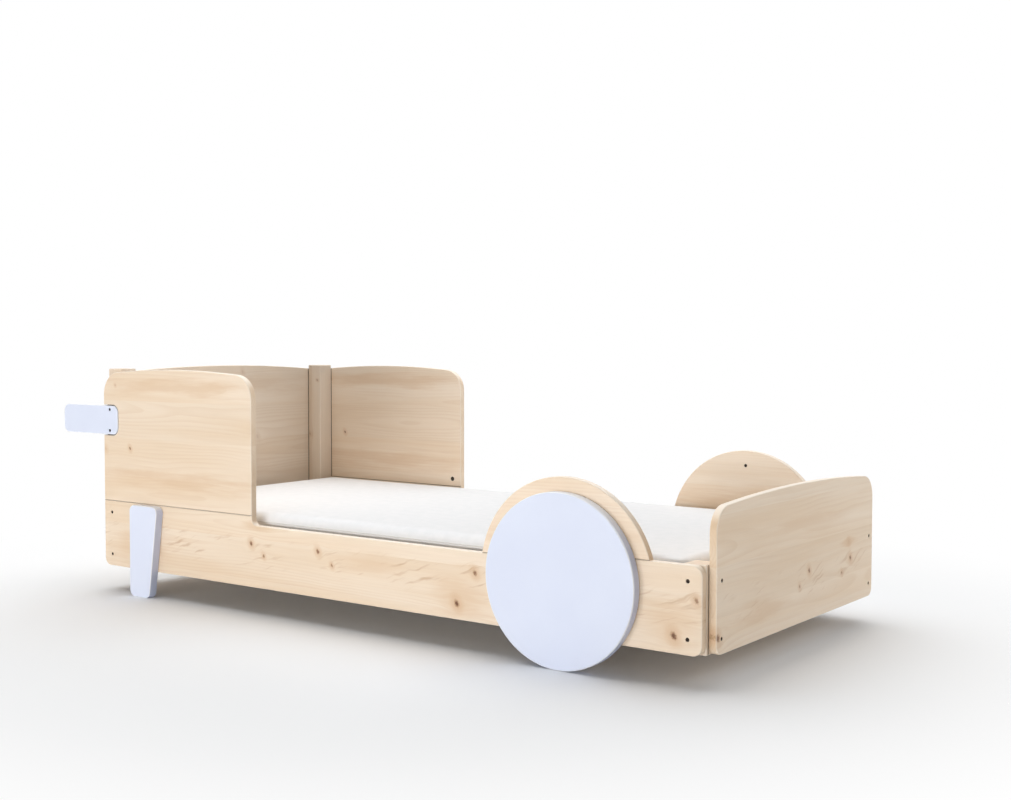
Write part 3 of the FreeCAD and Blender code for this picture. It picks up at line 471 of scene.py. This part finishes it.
# The slat ledgers: planed pine strips, square to the rails and screwed along the inside of them.
# The slats lie on their top edges.
finish_board("slat_ledger_right", 51.0, "xzy")
finish_board("slat_ledger_left", 54.0, "xzy")

# The slats: fifteen planed pine strips from ledger to ledger, with rounded long edges and a
# countersunk hole for a screw at each end.
SLAT_COUNT = 15
slat_names = [f"slat_{number:02d}" for number in range(1, SLAT_COUNT + 1)]
slat_low, slat_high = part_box(slat_names[0])
slat_size = slat_high - slat_low
slat_middle = (slat_low + slat_high) / 2
slat_step = (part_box(slat_names[-1])[0].x - slat_low.x) / (SLAT_COUNT - 1)
slat_points = [slat_middle + Vector((slat_step * number, 0, 0)) for number in range(SLAT_COUNT)]
slat_screw_y = middle_of("slat_ledger_left", 1)


def new_grower(name, *inputs):
    """An empty tree of Geometry Nodes, the sizes it is given, and its end."""
    geometry = ("Geometry", "Geometry")
    return new_group(name, "GeometryNodeTree", [geometry, *inputs], [geometry])


def shape(tree, kind, feeds, **settings):
    """One step of Geometry Nodes."""
    return put(tree, f"GeometryNode{kind}", feeds, **settings).outputs[0]


def seal(tree, end, geometry, material, smooth=False):
    """Makes what was grown real and gives it its shading and its material."""
    geometry = shape(tree, "RealizeInstances", {0: geometry})
    if smooth:
        geometry = shape(tree, "SetShadeSmooth", {"Geometry": geometry})
    geometry = shape(tree, "SetMaterial", {"Geometry": geometry, "Material": material})
    tree.links.new(geometry, end.inputs[0])
    return tree


def bar(tree, vertices, radius, depth):
    """A round or many-sided bar on end."""
    return shape(tree, "MeshCylinder", {"Vertices": vertices, "Radius": radius, "Depth": depth})


def shift(tree, geometry, place):
    """Geometry moved to a place."""
    return shape(tree, "Transform", {"Geometry": geometry, "Translation": place})


def cut_away(tree, solid, tool):
    """What is left of one mesh when another is cut out of it."""
    return shape(tree, "MeshBoolean", {0: solid, 1: tool}, operation="DIFFERENCE")


def make_slat_row():
    """Nodes for a row of like slats, each with its own tone."""
    tree, sizes, end = new_grower(
        "slat_row", "Slat Length", "Slat Width", "Slat Thickness", "Edge Round", "Screw Reach",
        "Recess Radius", "Recess Depth", ("Seed", "Int"), ("Wood", "Material"))
    section = shape(tree, "CurvePrimitiveQuadrilateral", {
        "Width": sizes["Slat Width"], "Height": sizes["Slat Thickness"]})
    section = shape(tree, "FilletCurve", {
        "Curve": section, "Count": 4, "Radius": sizes["Edge Round"]}, mode="POLY")
    spine = shape(tree, "CurvePrimitiveLine", {
        "Start": join(tree, y=times(tree, sizes["Slat Length"], -0.5)),
        "End": join(tree, y=times(tree, sizes["Slat Length"], 0.5))})
    slat = shape(tree, "CurveToMesh", {"Curve": spine, "Profile Curve": section, "Fill Caps": True})
    top = times(tree, sizes["Slat Thickness"], 0.5)
    recess = bar(tree, 24, sizes["Recess Radius"], times(tree, sizes["Recess Depth"], 2.0))
    for way in (-1.0, 1.0):
        spot = join(tree, y=times(tree, sizes["Screw Reach"], way), z=top)
        slat = cut_away(tree, slat, shift(tree, recess, spot))
    row = shape(tree, "InstanceOnPoints", {"Points": sizes["Geometry"], "Instance": slat})
    tone = put(tree, "FunctionNodeRandomValue", {"Seed": sizes["Seed"]}, data_type="FLOAT")
    row = shape(tree, "StoreNamedAttribute", {
        "Geometry": row, "Name": "slat_tone", "Value": tone.outputs[1]}, domain="INSTANCE", data_type="FLOAT")
    return seal(tree, end, row, sizes["Wood"])


def point_mesh(name, points, aims=None):
    """A mesh of loose points, each with the way it faces."""
    mesh = bpy.data.meshes.new(name)
    mesh.from_pydata([tuple(point) for point in points], [], [])
    if aims:
        attribute = mesh.attributes.new("aim", "FLOAT_VECTOR", "POINT")
        attribute.data.foreach_set("vector", [value for aim in aims for value in aim])
    return mesh


def grow(name, mesh, tree, sizes):
    """Runs a node tree on a mesh and keeps the outcome as a plain piece."""
    holder = bpy.data.objects.new(f"{name}_start", mesh)
    bpy.context.scene.collection.objects.link(holder)
    modifier = holder.modifiers.new("grow", "NODES")
    modifier.node_group = tree
    for item in tree.interface.items_tree:
        if item.in_out == "INPUT" and item.name in sizes:
            modifier[item.identifier] = sizes[item.name]
    graph = bpy.context.evaluated_depsgraph_get()
    grown = bpy.data.meshes.new_from_object(holder.evaluated_get(graph))
    bpy.data.objects.remove(holder)
    piece = bpy.data.objects.new(name, grown)
    grown.name = name
    bpy.context.scene.collection.objects.link(piece)
    return piece


def slat_wood():
    """Bare planed pine, a little different on each slat."""
    material = pine("bare_slat_pine", 61.0, "yxz", slat_middle.z)
    tree = material.node_tree
    base = tree.nodes["Principled BSDF"].inputs["Base Color"]
    tone = put(tree, "ShaderNodeAttribute", attribute_name="slat_tone")
    value = times_plus(tree, tone.outputs["Fac"], 0.14, 0.86)
    toned = put(tree, "ShaderNodeHueSaturation", {
        "Color": base.links[0].from_socket, "Value": value, "Saturation": 0.95})
    tree.links.new(toned.outputs[0], base)
    return material


slats = grow("slats", point_mesh("slat_points", slat_points), make_slat_row(), {
    "Slat Length": slat_size.y, "Slat Width": slat_size.x, "Slat Thickness": slat_size.z, "Edge Round": 0.003,
    "Screw Reach": slat_screw_y, "Recess Radius": 0.0041, "Recess Depth": 0.0025, "Seed": 7,
    "Wood": slat_wood()})
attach(slats, "bed_frame")
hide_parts(*slat_names)

# The wheels, legs and handles: boards cut to shape, rounded over and sprayed with a pale lavender
# lacquer. The wheels and legs are screwed on from inside the rails, the handles to the head posts.


def lacquer():
    """Sprayed lacquer with a fine orange peel, painted darker on the edge faces as shade and paler on the
    arrises and upward faces as a highlight.
    """
    thin, thick = srgb(224, 230, 247), srgb(227, 233, 249)
    painted_edge_shade, painted_edge_highlight = srgb(205, 213, 237), srgb(248, 250, 254)
    material, tree, shader = new_material("lavender_lacquer_coat")
    here = put(tree, "ShaderNodeTexCoord").outputs
    clouds = speckle(tree, here["Object"], 5.0, 3.0)
    colour = blend_colours(tree, ramp(tree, clouds, 0.3, 0.7), thin, thick)
    facing = split(tree, here["Normal"])
    # Painted shade: the edge faces, which turn away from the front, are mixed toward a deeper lavender.
    edge = ramp(tree, reckon(tree, "ABSOLUTE", facing[1]), 0.25, 0.05)
    colour = blend_colours(tree, edge, colour, painted_edge_shade)
    # Painted highlight: the upward faces and the rounded arrises are mixed toward near white.
    painted_highlight_share = reckon(tree, "MAXIMUM", ramp(tree, facing[2], 0.35, 0.9), arris(tree, facing[1]))
    colour = blend_colours(tree, times(tree, painted_highlight_share, 0.75), colour, painted_edge_highlight)
    peel = speckle(tree, here["Object"], 520.0, 1.0)
    coat(tree, shader, colour, times_plus(tree, clouds, 0.10, 0.30), peel, 0.05, 0.0003, 0.35)
    return material


lavender = lacquer()
for kind in ("wheel", "leg", "handle"):
    for side in ("right", "left"):
        finish_node(f"{kind}_{side}", lavender)

# The screws: dark-finished steel with a hexagon socket, sunk just below the face of the board.
# Connector screws hold the boards to the posts, and small wood screws the ledgers and slats.
HEXAGON_CORNER = 0.57735
HEXAGON_TURN = 1.047


def screw_metal(name, dark, light):
    """Browned steel, rubbed a little brighter in places."""
    material, tree, shader = new_material(name)
    spots = speckle(tree, put(tree, "ShaderNodeTexCoord").outputs["Object"], 900.0, 3.0)
    colour = blend_colours(tree, ramp(tree, spots, 0.35, 0.75), dark, light)
    coat(tree, shader, colour, times_plus(tree, spots, 0.25, 0.30), spots, 0.1, 0.0001)
    shader.inputs["Metallic"].default_value = 0.8
    return material


def make_screws():
    """Nodes that set a socket-headed screw at each point, turned the way it is driven."""
    tree, sizes, end = new_grower(
        "socket_screws", "Head Diameter", "Head Height", "Socket Width", "Socket Depth",
        "Shank Diameter", "Shank Length", ("Seed", "Int"), ("Metal", "Material"))

    def half(length):
        return times(tree, length, 0.5)

    head = bar(tree, 28, half(sizes["Head Diameter"]), sizes["Head Height"])
    head = shift(tree, head, join(tree, z=times(tree, sizes["Head Height"], -0.5)))
    corner = times(tree, sizes["Socket Width"], HEXAGON_CORNER)
    socket = bar(tree, 6, corner, times(tree, sizes["Socket Depth"], 2.0))
    shank = bar(tree, 14, half(sizes["Shank Diameter"]), sizes["Shank Length"])
    reach = reckon(tree, "ADD", sizes["Head Height"], half(sizes["Shank Length"]))
    shank = shift(tree, shank, join(tree, z=times(tree, reach, -1.0)))
    screw = tree.nodes.new("GeometryNodeJoinGeometry")
    for part in (shank, cut_away(tree, head, socket)):
        tree.links.new(part, screw.inputs[0])
    aim = shape(tree, "InputNamedAttribute", {"Name": "aim"}, data_type="FLOAT_VECTOR")
    turn = put(tree, "FunctionNodeAlignRotationToVector", {"Vector": aim}, axis="Z")
    angle = put(tree, "FunctionNodeRandomValue", {
        "Max": HEXAGON_TURN, "Seed": sizes["Seed"]}, data_type="FLOAT")
    spin = put(tree, "FunctionNodeAxisAngleToRotation", {"Axis": (0.0, 0.0, 1.0), "Angle": angle.outputs[1]})
    turned = put(tree, "FunctionNodeRotateRotation", {
        "Rotation": turn.outputs[0], "Rotate By": spin.outputs[0]}, rotation_space="LOCAL")
    row = shape(tree, "InstanceOnPoints", {
        "Points": sizes["Geometry"], "Instance": screw.outputs[0], "Rotation": turned.outputs[0]})
    return seal(tree, end, row, sizes["Metal"])


def screw_seats(node, axis, way, spacing=0.02):
    """The head of each screw of a CAD group: its place, and the way its head looks."""
    faces = {}
    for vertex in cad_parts[node].data.vertices:
        others = [vertex.co[other] for other in range(3) if other != axis]
        for key in faces:
            beside = all(abs(a - b) < spacing for a, b in zip(key[:2], others))
            if beside and (key[2] > 0) == (vertex.co[axis] > 0):
                faces[key].append(vertex.co.copy())
                break
        else:
            faces[(*others, vertex.co[axis])] = [vertex.co.copy()]
    seats = []
    for points in faces.values():
        low = [min(point[number] for point in points) for number in range(3)]
        high = [max(point[number] for point in points) for number in range(3)]
        seat = [(a + b) / 2 for a, b in zip(low, high)]
        outward = way * (1 if seat[axis] > 0 else -1)
        seat[axis] = high[axis] if outward > 0 else low[axis]
        aim = [0.0, 0.0, 0.0]
        aim[axis] = outward
        seats.append((seat, aim))
    return seats


socket_screws = make_screws()
browned_steel = screw_metal("browned_steel", srgb(38, 31, 26), srgb(74, 64, 56))
zinc_steel = screw_metal("zinc_steel", srgb(120, 118, 114), srgb(176, 174, 170))
connector_seats = []
for node, axis, way in (
        ("rail_screws", 1, 1), ("handle_screws", 1, 1), ("wheel_screws", 1, -1), ("leg_screws", 1, -1),
        ("head_panel_screws", 0, 1), ("foot_panel_screws", 0, 1)):
    connector_seats += screw_seats(node, axis, way)
connector_points = point_mesh("connector_seats", *map(list, zip(*connector_seats)))
connectors = grow("connector_screws", connector_points, socket_screws, {
    "Head Diameter": 0.010, "Head Height": 0.004, "Socket Width": 0.004, "Socket Depth": 0.003,
    "Shank Diameter": 0.007, "Shank Length": 0.030, "Seed": 3, "Metal": browned_steel})
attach(connectors, "bed_frame")
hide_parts("rail_screws", "handle_screws", "wheel_screws", "leg_screws", "head_panel_screws",
            "foot_panel_screws")

small_seats = screw_seats("ledger_screws", 1, -1)
small_seats += [((point.x, y, slat_high.z), (0.0, 0.0, 1.0)) for point in slat_points
                for y in (-slat_screw_y, slat_screw_y)]
small_points = point_mesh("wood_screw_seats", *map(list, zip(*small_seats)))
wood_screws = grow("wood_screws", small_points, socket_screws, {
    "Head Diameter": 0.008, "Head Height": 0.0025, "Socket Width": 0.0025, "Socket Depth": 0.0015,
    "Shank Diameter": 0.004, "Shank Length": 0.024, "Seed": 5, "Metal": zinc_steel})
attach(wood_screws, "bed_frame")
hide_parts("ledger_screws", "slat_screws")

# The cams and their pins draw the guards down on the rails, and beech dowels keep the boards in
# line. Only the faces of the cams show, in the lower corners of the guards.
finish_node("guard_cams", screw_metal("cast_cam", srgb(52, 48, 42), srgb(98, 92, 82)))
finish_node("guard_cam_pins", zinc_steel)
beech = pine("beech_dowel", 71.0, "zxy", 0.0)
for dowels in ("guard_dowels", "mudguard_dowels", "post_dowels"):
    finish_node(dowels, beech)

# The mattress: a foam block in a white knitted cover. The top, bottom and border panels are sewn
# together round a slim piping, topstitched, and filled out by the foam. It lies loose on the slats.
MATTRESS_CORNER = 0.034
MATTRESS_EDGE = 0.026
MATTRESS_SHRINK = 0.0025
MATTRESS_EDGE_TOP = 0.2925
MATTRESS_LIFT, CROWN_ROOM = 0.0004, 0.0002
SEAM_PINCH = 0.0013
SEAM_DEPTH = 0.028
SEAM_NEAR, SLAT_NEAR = 0.0004, 0.001
FILL_OUT, FILL_UP = 0.0021, 0.0040
SLACK_WAVES = ((5.5, 0.0006), (17.0, 0.00025))
PUCKER_REACH, PUCKER_PITCH, PUCKER_HEIGHT = 0.03, 46, 0.0006
PIPING_RADIUS = 0.0019
STITCH_OFF_SEAM, STITCH_STAND = 0.0105, 0.0006
mattress_low, mattress_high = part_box("mattress")
mattress_middle = (mattress_low + mattress_high) / 2
block_half_x = (mattress_high.x - mattress_low.x) / 2 - MATTRESS_SHRINK
block_half_y = (mattress_high.y - mattress_low.y) / 2 - MATTRESS_SHRINK
block_bottom = mattress_low.z + MATTRESS_LIFT
seam_levels = (block_bottom + SEAM_DEPTH, MATTRESS_EDGE_TOP - SEAM_DEPTH)


def graded(half, fine, coarse, border):
    """Places from minus half to half, close together near both borders."""
    inner = half - border
    steps = round(border / fine)
    count = max(2, round(2 * inner / coarse))
    near = [-half + border * step / steps for step in range(steps)]
    between = [-inner + 2 * inner * step / count for step in range(count + 1)]
    return near + between + [-row for row in reversed(near)]


def soften(a, b, half_a, half_b, radius):
    """Moves a point of a square corner onto the quarter round of that radius."""
    over_a, over_b = abs(a) - (half_a - radius), abs(b) - (half_b - radius)
    if over_a <= 0 or over_b <= 0:
        return a, b
    share = max(over_a, over_b) / math.hypot(over_a, over_b)
    return (math.copysign(half_a - radius + over_a * share, a),
            math.copysign(half_b - radius + over_b * share, b))


def mattress_block():
    """The sewn cover before it is filled: a block with rounded corners and edges, and its pattern pieces."""
    half_x, half_y, half_z = block_half_x, block_half_y, (MATTRESS_EDGE_TOP - block_bottom) / 2
    fine, coarse, border = 0.006, 0.022, 0.06
    fine_up, coarse_up = 0.004, 0.012
    rows = (graded(half_x, fine, coarse, border), graded(half_y, fine, coarse, border),
            graded(half_z, fine_up, coarse_up, SEAM_DEPTH))
    last = [len(row) - 1 for row in rows]
    made = bmesh.new()
    found = {}

    def corner(place):
        if place not in found:
            found[place] = made.verts.new([row[number] for row, number in zip(rows, place)])
        return found[place]

    pattern = made.loops.layers.uv.new("cover")
    for fixed, across, up in ((2, 0, 1), (1, 0, 2), (0, 1, 2)):
        for level in (0, last[fixed]):
            for a in range(last[across]):
                for b in range(last[up]):
                    places = []
                    for step_a, step_b in ((0, 0), (1, 0), (1, 1), (0, 1)):
                        place = [0, 0, 0]
                        place[fixed], place[across], place[up] = level, a + step_a, b + step_b
                        places.append(tuple(place))
                    face = made.faces.new([corner(place) for place in places])
                    face.smooth = True
                    for loop, place in zip(face.loops, places):
                        loop[pattern].uv = (rows[across][place[across]], rows[up][place[up]])
    bmesh.ops.recalc_face_normals(made, faces=made.faces)
    for vertex in made.verts:
        x, y, z = vertex.co
        side = max(abs(x) - half_x, abs(y) - half_y) + half_x
        drawn, z = soften(side, z, half_x, half_z, MATTRESS_EDGE)
        x, y = soften(x, y, half_x, half_y, MATTRESS_CORNER)
        way = Vector((max(0.0, abs(x) - half_x + MATTRESS_CORNER),
                      max(0.0, abs(y) - half_y + MATTRESS_CORNER)))
        if way.length > 0:
            way = way.normalized() * (side - drawn)
        vertex.co = (x - math.copysign(way.x, x), y - math.copysign(way.y, y), z)
    bmesh.ops.translate(made, verts=made.verts, vec=(
        mattress_middle.x, mattress_middle.y, (MATTRESS_EDGE_TOP + block_bottom) / 2))
    mesh = bpy.data.meshes.new("mattress_cover")
    made.to_mesh(mesh)
    made.free()
    return mesh


def seam_path(level, inset, count=720):
    """Points along the outline of the cover at a level, that far in from its sides."""
    half_x, half_y, radius = block_half_x - inset, block_half_y - inset, MATTRESS_CORNER - inset
    quarter = radius * math.pi / 2
    runs = [2 * (half_y - radius), quarter, 2 * (half_x - radius), quarter] * 2
    total = sum(runs)
    points = []
    for number in range(count):
        left, run = total * number / count, 0
        while left > runs[run]:
            left -= runs[run]
            run += 1
        turn = run // 2 * math.pi / 2
        reach, aside = (half_x, half_y) if run // 2 % 2 == 0 else (half_y, half_x)
        if run % 2 == 0:
            place = Vector((reach, -aside + radius + left))
        else:
            angle = left / radius
            place = Vector((reach - radius + radius * math.cos(angle),
                            aside - radius + radius * math.sin(angle)))
        place.rotate(Matrix.Rotation(turn, 2))
        points.append(Vector((mattress_middle.x + place.x, mattress_middle.y + place.y, level)))
    return points


def held_places(rest):
    """Which vertices the seams and the slats hold."""
    on_seam = np.min([np.abs(rest[:, 2] - level) for level in seam_levels], axis=0) < SEAM_NEAR
    return on_seam, rest[:, 2] < block_bottom + SLAT_NEAR


def read_places(mesh):
    """The places of a mesh's vertices."""
    places = np.zeros(len(mesh.vertices) * 3, np.float32)
    mesh.vertices.foreach_get("co", places)
    return places.reshape(-1, 3)


def swell(piece, held, frames=20):
    """Fills the cover out with cloth simulation, with the seams and the underside held."""
    group = piece.vertex_groups.new(name="held")
    group.add([int(number) for number in np.flatnonzero(held)], 1.0, "REPLACE")
    cloth = piece.modifiers.new("fill", "CLOTH")
    cloth.settings.quality = 6
    cloth.settings.mass = 0.4
    cloth.settings.tension_stiffness = cloth.settings.compression_stiffness = 14
    cloth.settings.bending_stiffness = 0.5
    cloth.settings.use_pressure = True
    cloth.settings.uniform_pressure_force = 4.0
    cloth.settings.vertex_group_mass = group.name
    cloth.settings.effector_weights.gravity = 0.0
    cloth.collision_settings.use_collision = False
    cloth.point_cache.frame_start, cloth.point_cache.frame_end = 1, frames
    for number in range(1, frames + 1):
        bpy.context.scene.frame_set(number)
    mesh = bpy.data.meshes.new_from_object(piece.evaluated_get(bpy.context.evaluated_depsgraph_get()))
    places = read_places(mesh)
    bpy.data.meshes.remove(mesh)
    piece.modifiers.remove(cloth)
    piece.vertex_groups.clear()
    bpy.context.scene.frame_set(1)
    return places


def knit_cover():
    """White knitted jersey: columns of small loops, on the pattern of each panel, with painted shade in the
    hollows between them.
    """
    loop_width, loop_height, loop_shade = 0.0021, 0.0015, 0.06
    thin, thick, painted_hollow_shade = srgb(243, 244, 245), srgb(248, 248, 249), srgb(190, 190, 188)
    material, tree, shader = new_material("white_jersey")
    pattern = split(tree, put(tree, "ShaderNodeUVMap", uv_map="cover").outputs[0])
    across = times(tree, pattern[0], 2 * math.pi / loop_width)
    up = times(tree, pattern[1], 2 * math.pi / loop_height)
    column = reckon(tree, "ABSOLUTE", reckon(tree, "SINE", across))
    loops = times(tree, reckon(tree, "SINE", reckon(tree, "ADD", up, times(tree, column, 1.6))), column)
    slub = speckle(tree, put(tree, "ShaderNodeTexCoord").outputs["Object"], 34.0, 4.0)
    colour = blend_colours(tree, ramp(tree, slub, 0.3, 0.7), thin, thick)
    # Painted shade: the hollows between the loops are mixed a little toward grey.
    shade = minus(tree, loop_shade, ramp(tree, loops, -1.0, 0.2, 0.0, loop_shade))
    colour = blend_colours(tree, shade, colour, painted_hollow_shade)
    relief = times_plus(tree, slub, 0.6, loops)
    coat(tree, shader, colour, times_plus(tree, slub, 0.14, 0.80), relief, 0.22, 0.0005, 0.2)
    shader.inputs["Sheen Weight"].default_value = 0.12
    return material


def make_piping():
    """Nodes that lay a round cord along a path."""
    tree, sizes, end = new_grower("piping_cord", "Cord Radius", ("Cloth", "Material"))
    path = shape(tree, "MeshToCurve", {"Mesh": sizes["Geometry"]})
    section = shape(tree, "CurvePrimitiveCircle", {"Resolution": 10, "Radius": sizes["Cord Radius"]})
    cord = shape(tree, "CurveToMesh", {"Curve": path, "Profile Curve": section})
    return seal(tree, end, cord, sizes["Cloth"], smooth=True)


def make_stitches():
    """Nodes that set a row of short thread stitches along a path."""
    tree, sizes, end = new_grower(
        "stitch_row", "Stitch Pitch", "Stitch Length", "Thread Radius", ("Seed", "Int"),
        ("Thread", "Material"))
    path = shape(tree, "MeshToCurve", {"Mesh": sizes["Geometry"]})
    path = shape(tree, "ResampleCurve", {"Curve": path, "Length": sizes["Stitch Pitch"]}, mode="LENGTH")
    stitch = shape(tree, "MeshUVSphere", {"Segments": 6, "Rings": 4, "Radius": sizes["Thread Radius"]})
    longer = reckon(tree, "DIVIDE", times(tree, sizes["Stitch Length"], 0.5), sizes["Thread Radius"])
    stitch = shape(tree, "Transform", {"Geometry": stitch, "Scale": join(tree, 1.0, 1.0, longer)})
    tangent = shape(tree, "InputTangent", {})
    turn = put(tree, "FunctionNodeAlignRotationToVector", {"Vector": tangent}, axis="Z")
    slack = put(tree, "FunctionNodeRandomValue", {
        "Min": 0.88, "Max": 1.08, "Seed": sizes["Seed"]}, data_type="FLOAT")
    row = shape(tree, "InstanceOnPoints", {
        "Points": path, "Instance": stitch, "Rotation": turn.outputs[0],
        "Scale": join(tree, 1.0, 1.0, slack.outputs[1])})
    return seal(tree, end, row, sizes["Thread"], smooth=True)


def path_mesh(name, paths):
    """A mesh of closed lines."""
    points, edges = [], []
    for path in paths:
        first = len(points)
        points += [tuple(point) for point in path]
        edges += [(first + number, first + (number + 1) % len(path)) for number in range(len(path))]
    mesh = bpy.data.meshes.new(name)
    mesh.from_pydata(points, edges, [])
    return mesh


def trim_cloth(name, pale, dull, scale):
    """Plain woven trim or thread, a little uneven."""
    material, tree, shader = new_material(name)
    weave = speckle(tree, put(tree, "ShaderNodeTexCoord").outputs["Object"], scale, 2.0)
    colour = blend_colours(tree, ramp(tree, weave, 0.3, 0.7), dull, pale)
    coat(tree, shader, colour, times_plus(tree, weave, 0.2, 0.72), weave, 0.3, 0.0004, 0.2)
    return material


mattress = bpy.data.objects.new("mattress_cover", mattress_block())
bpy.context.scene.collection.objects.link(mattress)
cover = mattress.data
rest = read_places(cover)
on_seam, on_slats = held_places(rest)
pinch = np.zeros_like(rest)
middle = np.array(mattress_middle, np.float32)
inward = -np.sign(rest - middle) * (np.abs(rest - middle) > np.array([
    block_half_x - MATTRESS_CORNER, block_half_y - MATTRESS_CORNER, 0.0]))
pinch[on_seam] = inward[on_seam] / np.linalg.norm(inward[on_seam], axis=1, keepdims=True) * SEAM_PINCH
filled = rest + pinch
cover.vertices.foreach_set("co", filled.ravel())
cover.update()
moved = swell(mattress, on_seam | on_slats) - filled
out = FILL_OUT / max(1e-6, np.abs(moved[:, :2]).max())
filled = filled + moved * np.array([out, out, FILL_UP / max(1e-6, moved[:, 2].max())], np.float32)
for number, place in enumerate(filled):
    if on_seam[number] or on_slats[number]:
        continue
    ripple = sum(noise.noise(Vector(place) * pitch) * height for pitch, height in SLACK_WAVES)
    near_seam = min(abs(place[2] - level) for level in seam_levels)
    if near_seam < PUCKER_REACH:
        pucker = noise.noise(Vector((place[0] * PUCKER_PITCH, place[1] * PUCKER_PITCH, 3.0))) * PUCKER_HEIGHT
        ripple += pucker * (1 - near_seam / PUCKER_REACH)
    toward = np.array([0, 0, 1.0]) if place[2] > seam_levels[1] else -inward[number] * np.array([1, 1, 0])
    place += (toward * ripple).astype(np.float32)
filled[:, 2] = np.clip(filled[:, 2], block_bottom, mattress_high.z - CROWN_ROOM)
cover.vertices.foreach_set("co", filled.ravel())
cover.update()
cover.materials.append(knit_cover())
rounded = mattress.modifiers.new("round", "SUBSURF")
rounded.levels = rounded.render_levels = 1
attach(mattress, "mattress")
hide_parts("mattress")

piping_paths = [seam_path(level, SEAM_PINCH) for level in seam_levels]
piping = grow("mattress_piping", path_mesh("piping_paths", piping_paths), make_piping(), {
    "Cord Radius": PIPING_RADIUS,
    "Cloth": trim_cloth("piping_twill", srgb(238, 238, 236), srgb(224, 224, 222), 900.0)})
stitch_paths = [seam_path(level, -STITCH_STAND) for level in (
    seam_levels[1] - STITCH_OFF_SEAM, seam_levels[0] + STITCH_OFF_SEAM)]
stitching = grow("mattress_stitching", path_mesh("stitch_paths", stitch_paths), make_stitches(), {
    "Stitch Pitch": 0.006, "Stitch Length": 0.0044, "Thread Radius": 0.00055, "Seed": 11,
    "Thread": trim_cloth("sewing_thread", srgb(236, 236, 234), srgb(214, 214, 212), 2400.0)})
for trim in (piping, stitching):
    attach(trim, "mattress")

# The stage: a white studio floor that runs out into white, an overhead soft box, low fills from the
# front and the foot, and the camera at the photograph's place.
CAMERA_PLACE = (2.59802, -3.18240, 0.79254)
CAMERA_HEADING, CAMERA_DIP, CAMERA_TILT = 0.6365, 0.0430, 0.001
SENSOR_WIDTH, FOCAL_LENGTH = 36.0, 47.782
FLOOR_HALF = 30
WHITE_FROM, WHITE_AT = 1.0, 2.2
SKY_LIGHT = 0.16
scene = bpy.context.scene
scene.view_settings.view_transform = "Standard"
lens = bpy.data.cameras.new("camera")
lens.sensor_fit, lens.sensor_width, lens.lens = "HORIZONTAL", SENSOR_WIDTH, FOCAL_LENGTH
lens.clip_start, lens.clip_end = 0.05, 100.0
camera = bpy.data.objects.new("camera", lens)
scene.collection.objects.link(camera)
camera.matrix_world = (
    Matrix.Translation(CAMERA_PLACE) @ Matrix.Rotation(CAMERA_HEADING, 4, "Z")
    @ Matrix.Rotation(math.pi / 2 - CAMERA_DIP, 4, "X") @ Matrix.Rotation(CAMERA_TILT, 4, "Z"))
scene.camera = camera

floor_corners = [(x * FLOOR_HALF, y * FLOOR_HALF, 0) for x, y in ((-1, -1), (1, -1), (1, 1), (-1, 1))]
floor_mesh = bpy.data.meshes.new("floor")
floor_mesh.from_pydata(floor_corners, [], [(0, 1, 2, 3)])
floor = bpy.data.objects.new("floor", floor_mesh)
scene.collection.objects.link(floor)


def seen_ray(tree):
    """1 where the eye, a mirror or a glass looks straight at the backdrop."""
    path = put(tree, "ShaderNodeLightPath").outputs
    return reckon(tree, "MAXIMUM", path["Is Camera Ray"], reckon(
        tree, "MAXIMUM", path["Is Glossy Ray"], path["Is Transmission Ray"]))


def floor_paint():
    """Matt white paint near the bed, plain white farther off."""
    material, tree, paint = new_material("floor_paint")
    paint.inputs["Base Color"].default_value = (0.935, 0.945, 0.955, 1)
    paint.inputs["Roughness"].default_value = 0.9
    paint.inputs["Specular IOR Level"].default_value = 0.1
    here = put(tree, "ShaderNodeTexCoord").outputs["Object"]
    away = reckon_places(tree, "LENGTH", here, outcome="Value")
    far = times(tree, ramp(tree, away, WHITE_FROM, WHITE_AT), seen_ray(tree))
    glow = put(tree, "ShaderNodeEmission", {"Color": (1, 1, 1, 1), "Strength": 1.0})
    mixed = put(tree, "ShaderNodeMixShader", {0: far, 1: paint.outputs[0], 2: glow.outputs[0]})
    tree.links.new(mixed.outputs[0], tree.nodes["Material Output"].inputs["Surface"])
    return material


floor_mesh.materials.append(floor_paint())
scene.world = bpy.data.worlds.new("studio")
scene.world.use_nodes = True
sky = scene.world.node_tree
strength = put(sky, "ShaderNodeMapRange", {"Value": seen_ray(sky), "To Min": SKY_LIGHT, "To Max": 1.0})
deliver(sky, sky.nodes["Background"], {"Strength": strength.outputs[0]})
sky.nodes["Background"].inputs["Color"].default_value = (1, 1, 1, 1)


def lamp(name, place, aim, width, height, watts):
    """A soft box that looks at a point."""
    light = bpy.data.lights.new(name, "AREA")
    light.shape, light.size, light.size_y, light.energy = "RECTANGLE", width, height, watts
    box = bpy.data.objects.new(name, light)
    box.location = place
    box.rotation_mode = "QUATERNION"
    box.rotation_quaternion = (Vector(aim) - Vector(place)).to_track_quat("-Z", "Y")
    box.visible_camera = False
    scene.collection.objects.link(box)


lamp("overhead_box", (-1.25, 1.4, 4.2), (-0.85, 0.9, 0.0), 7.2, 7.0, 308)
lamp("front_fill", (0.0, -6.0, 0.42), (0.0, 0.0, 0.35), 4.5, 0.5, 166)
lamp("foot_fill", (6.0, 3.4, 0.3), (1.2, 0.0, 0.25), 3.5, 0.4, 92)
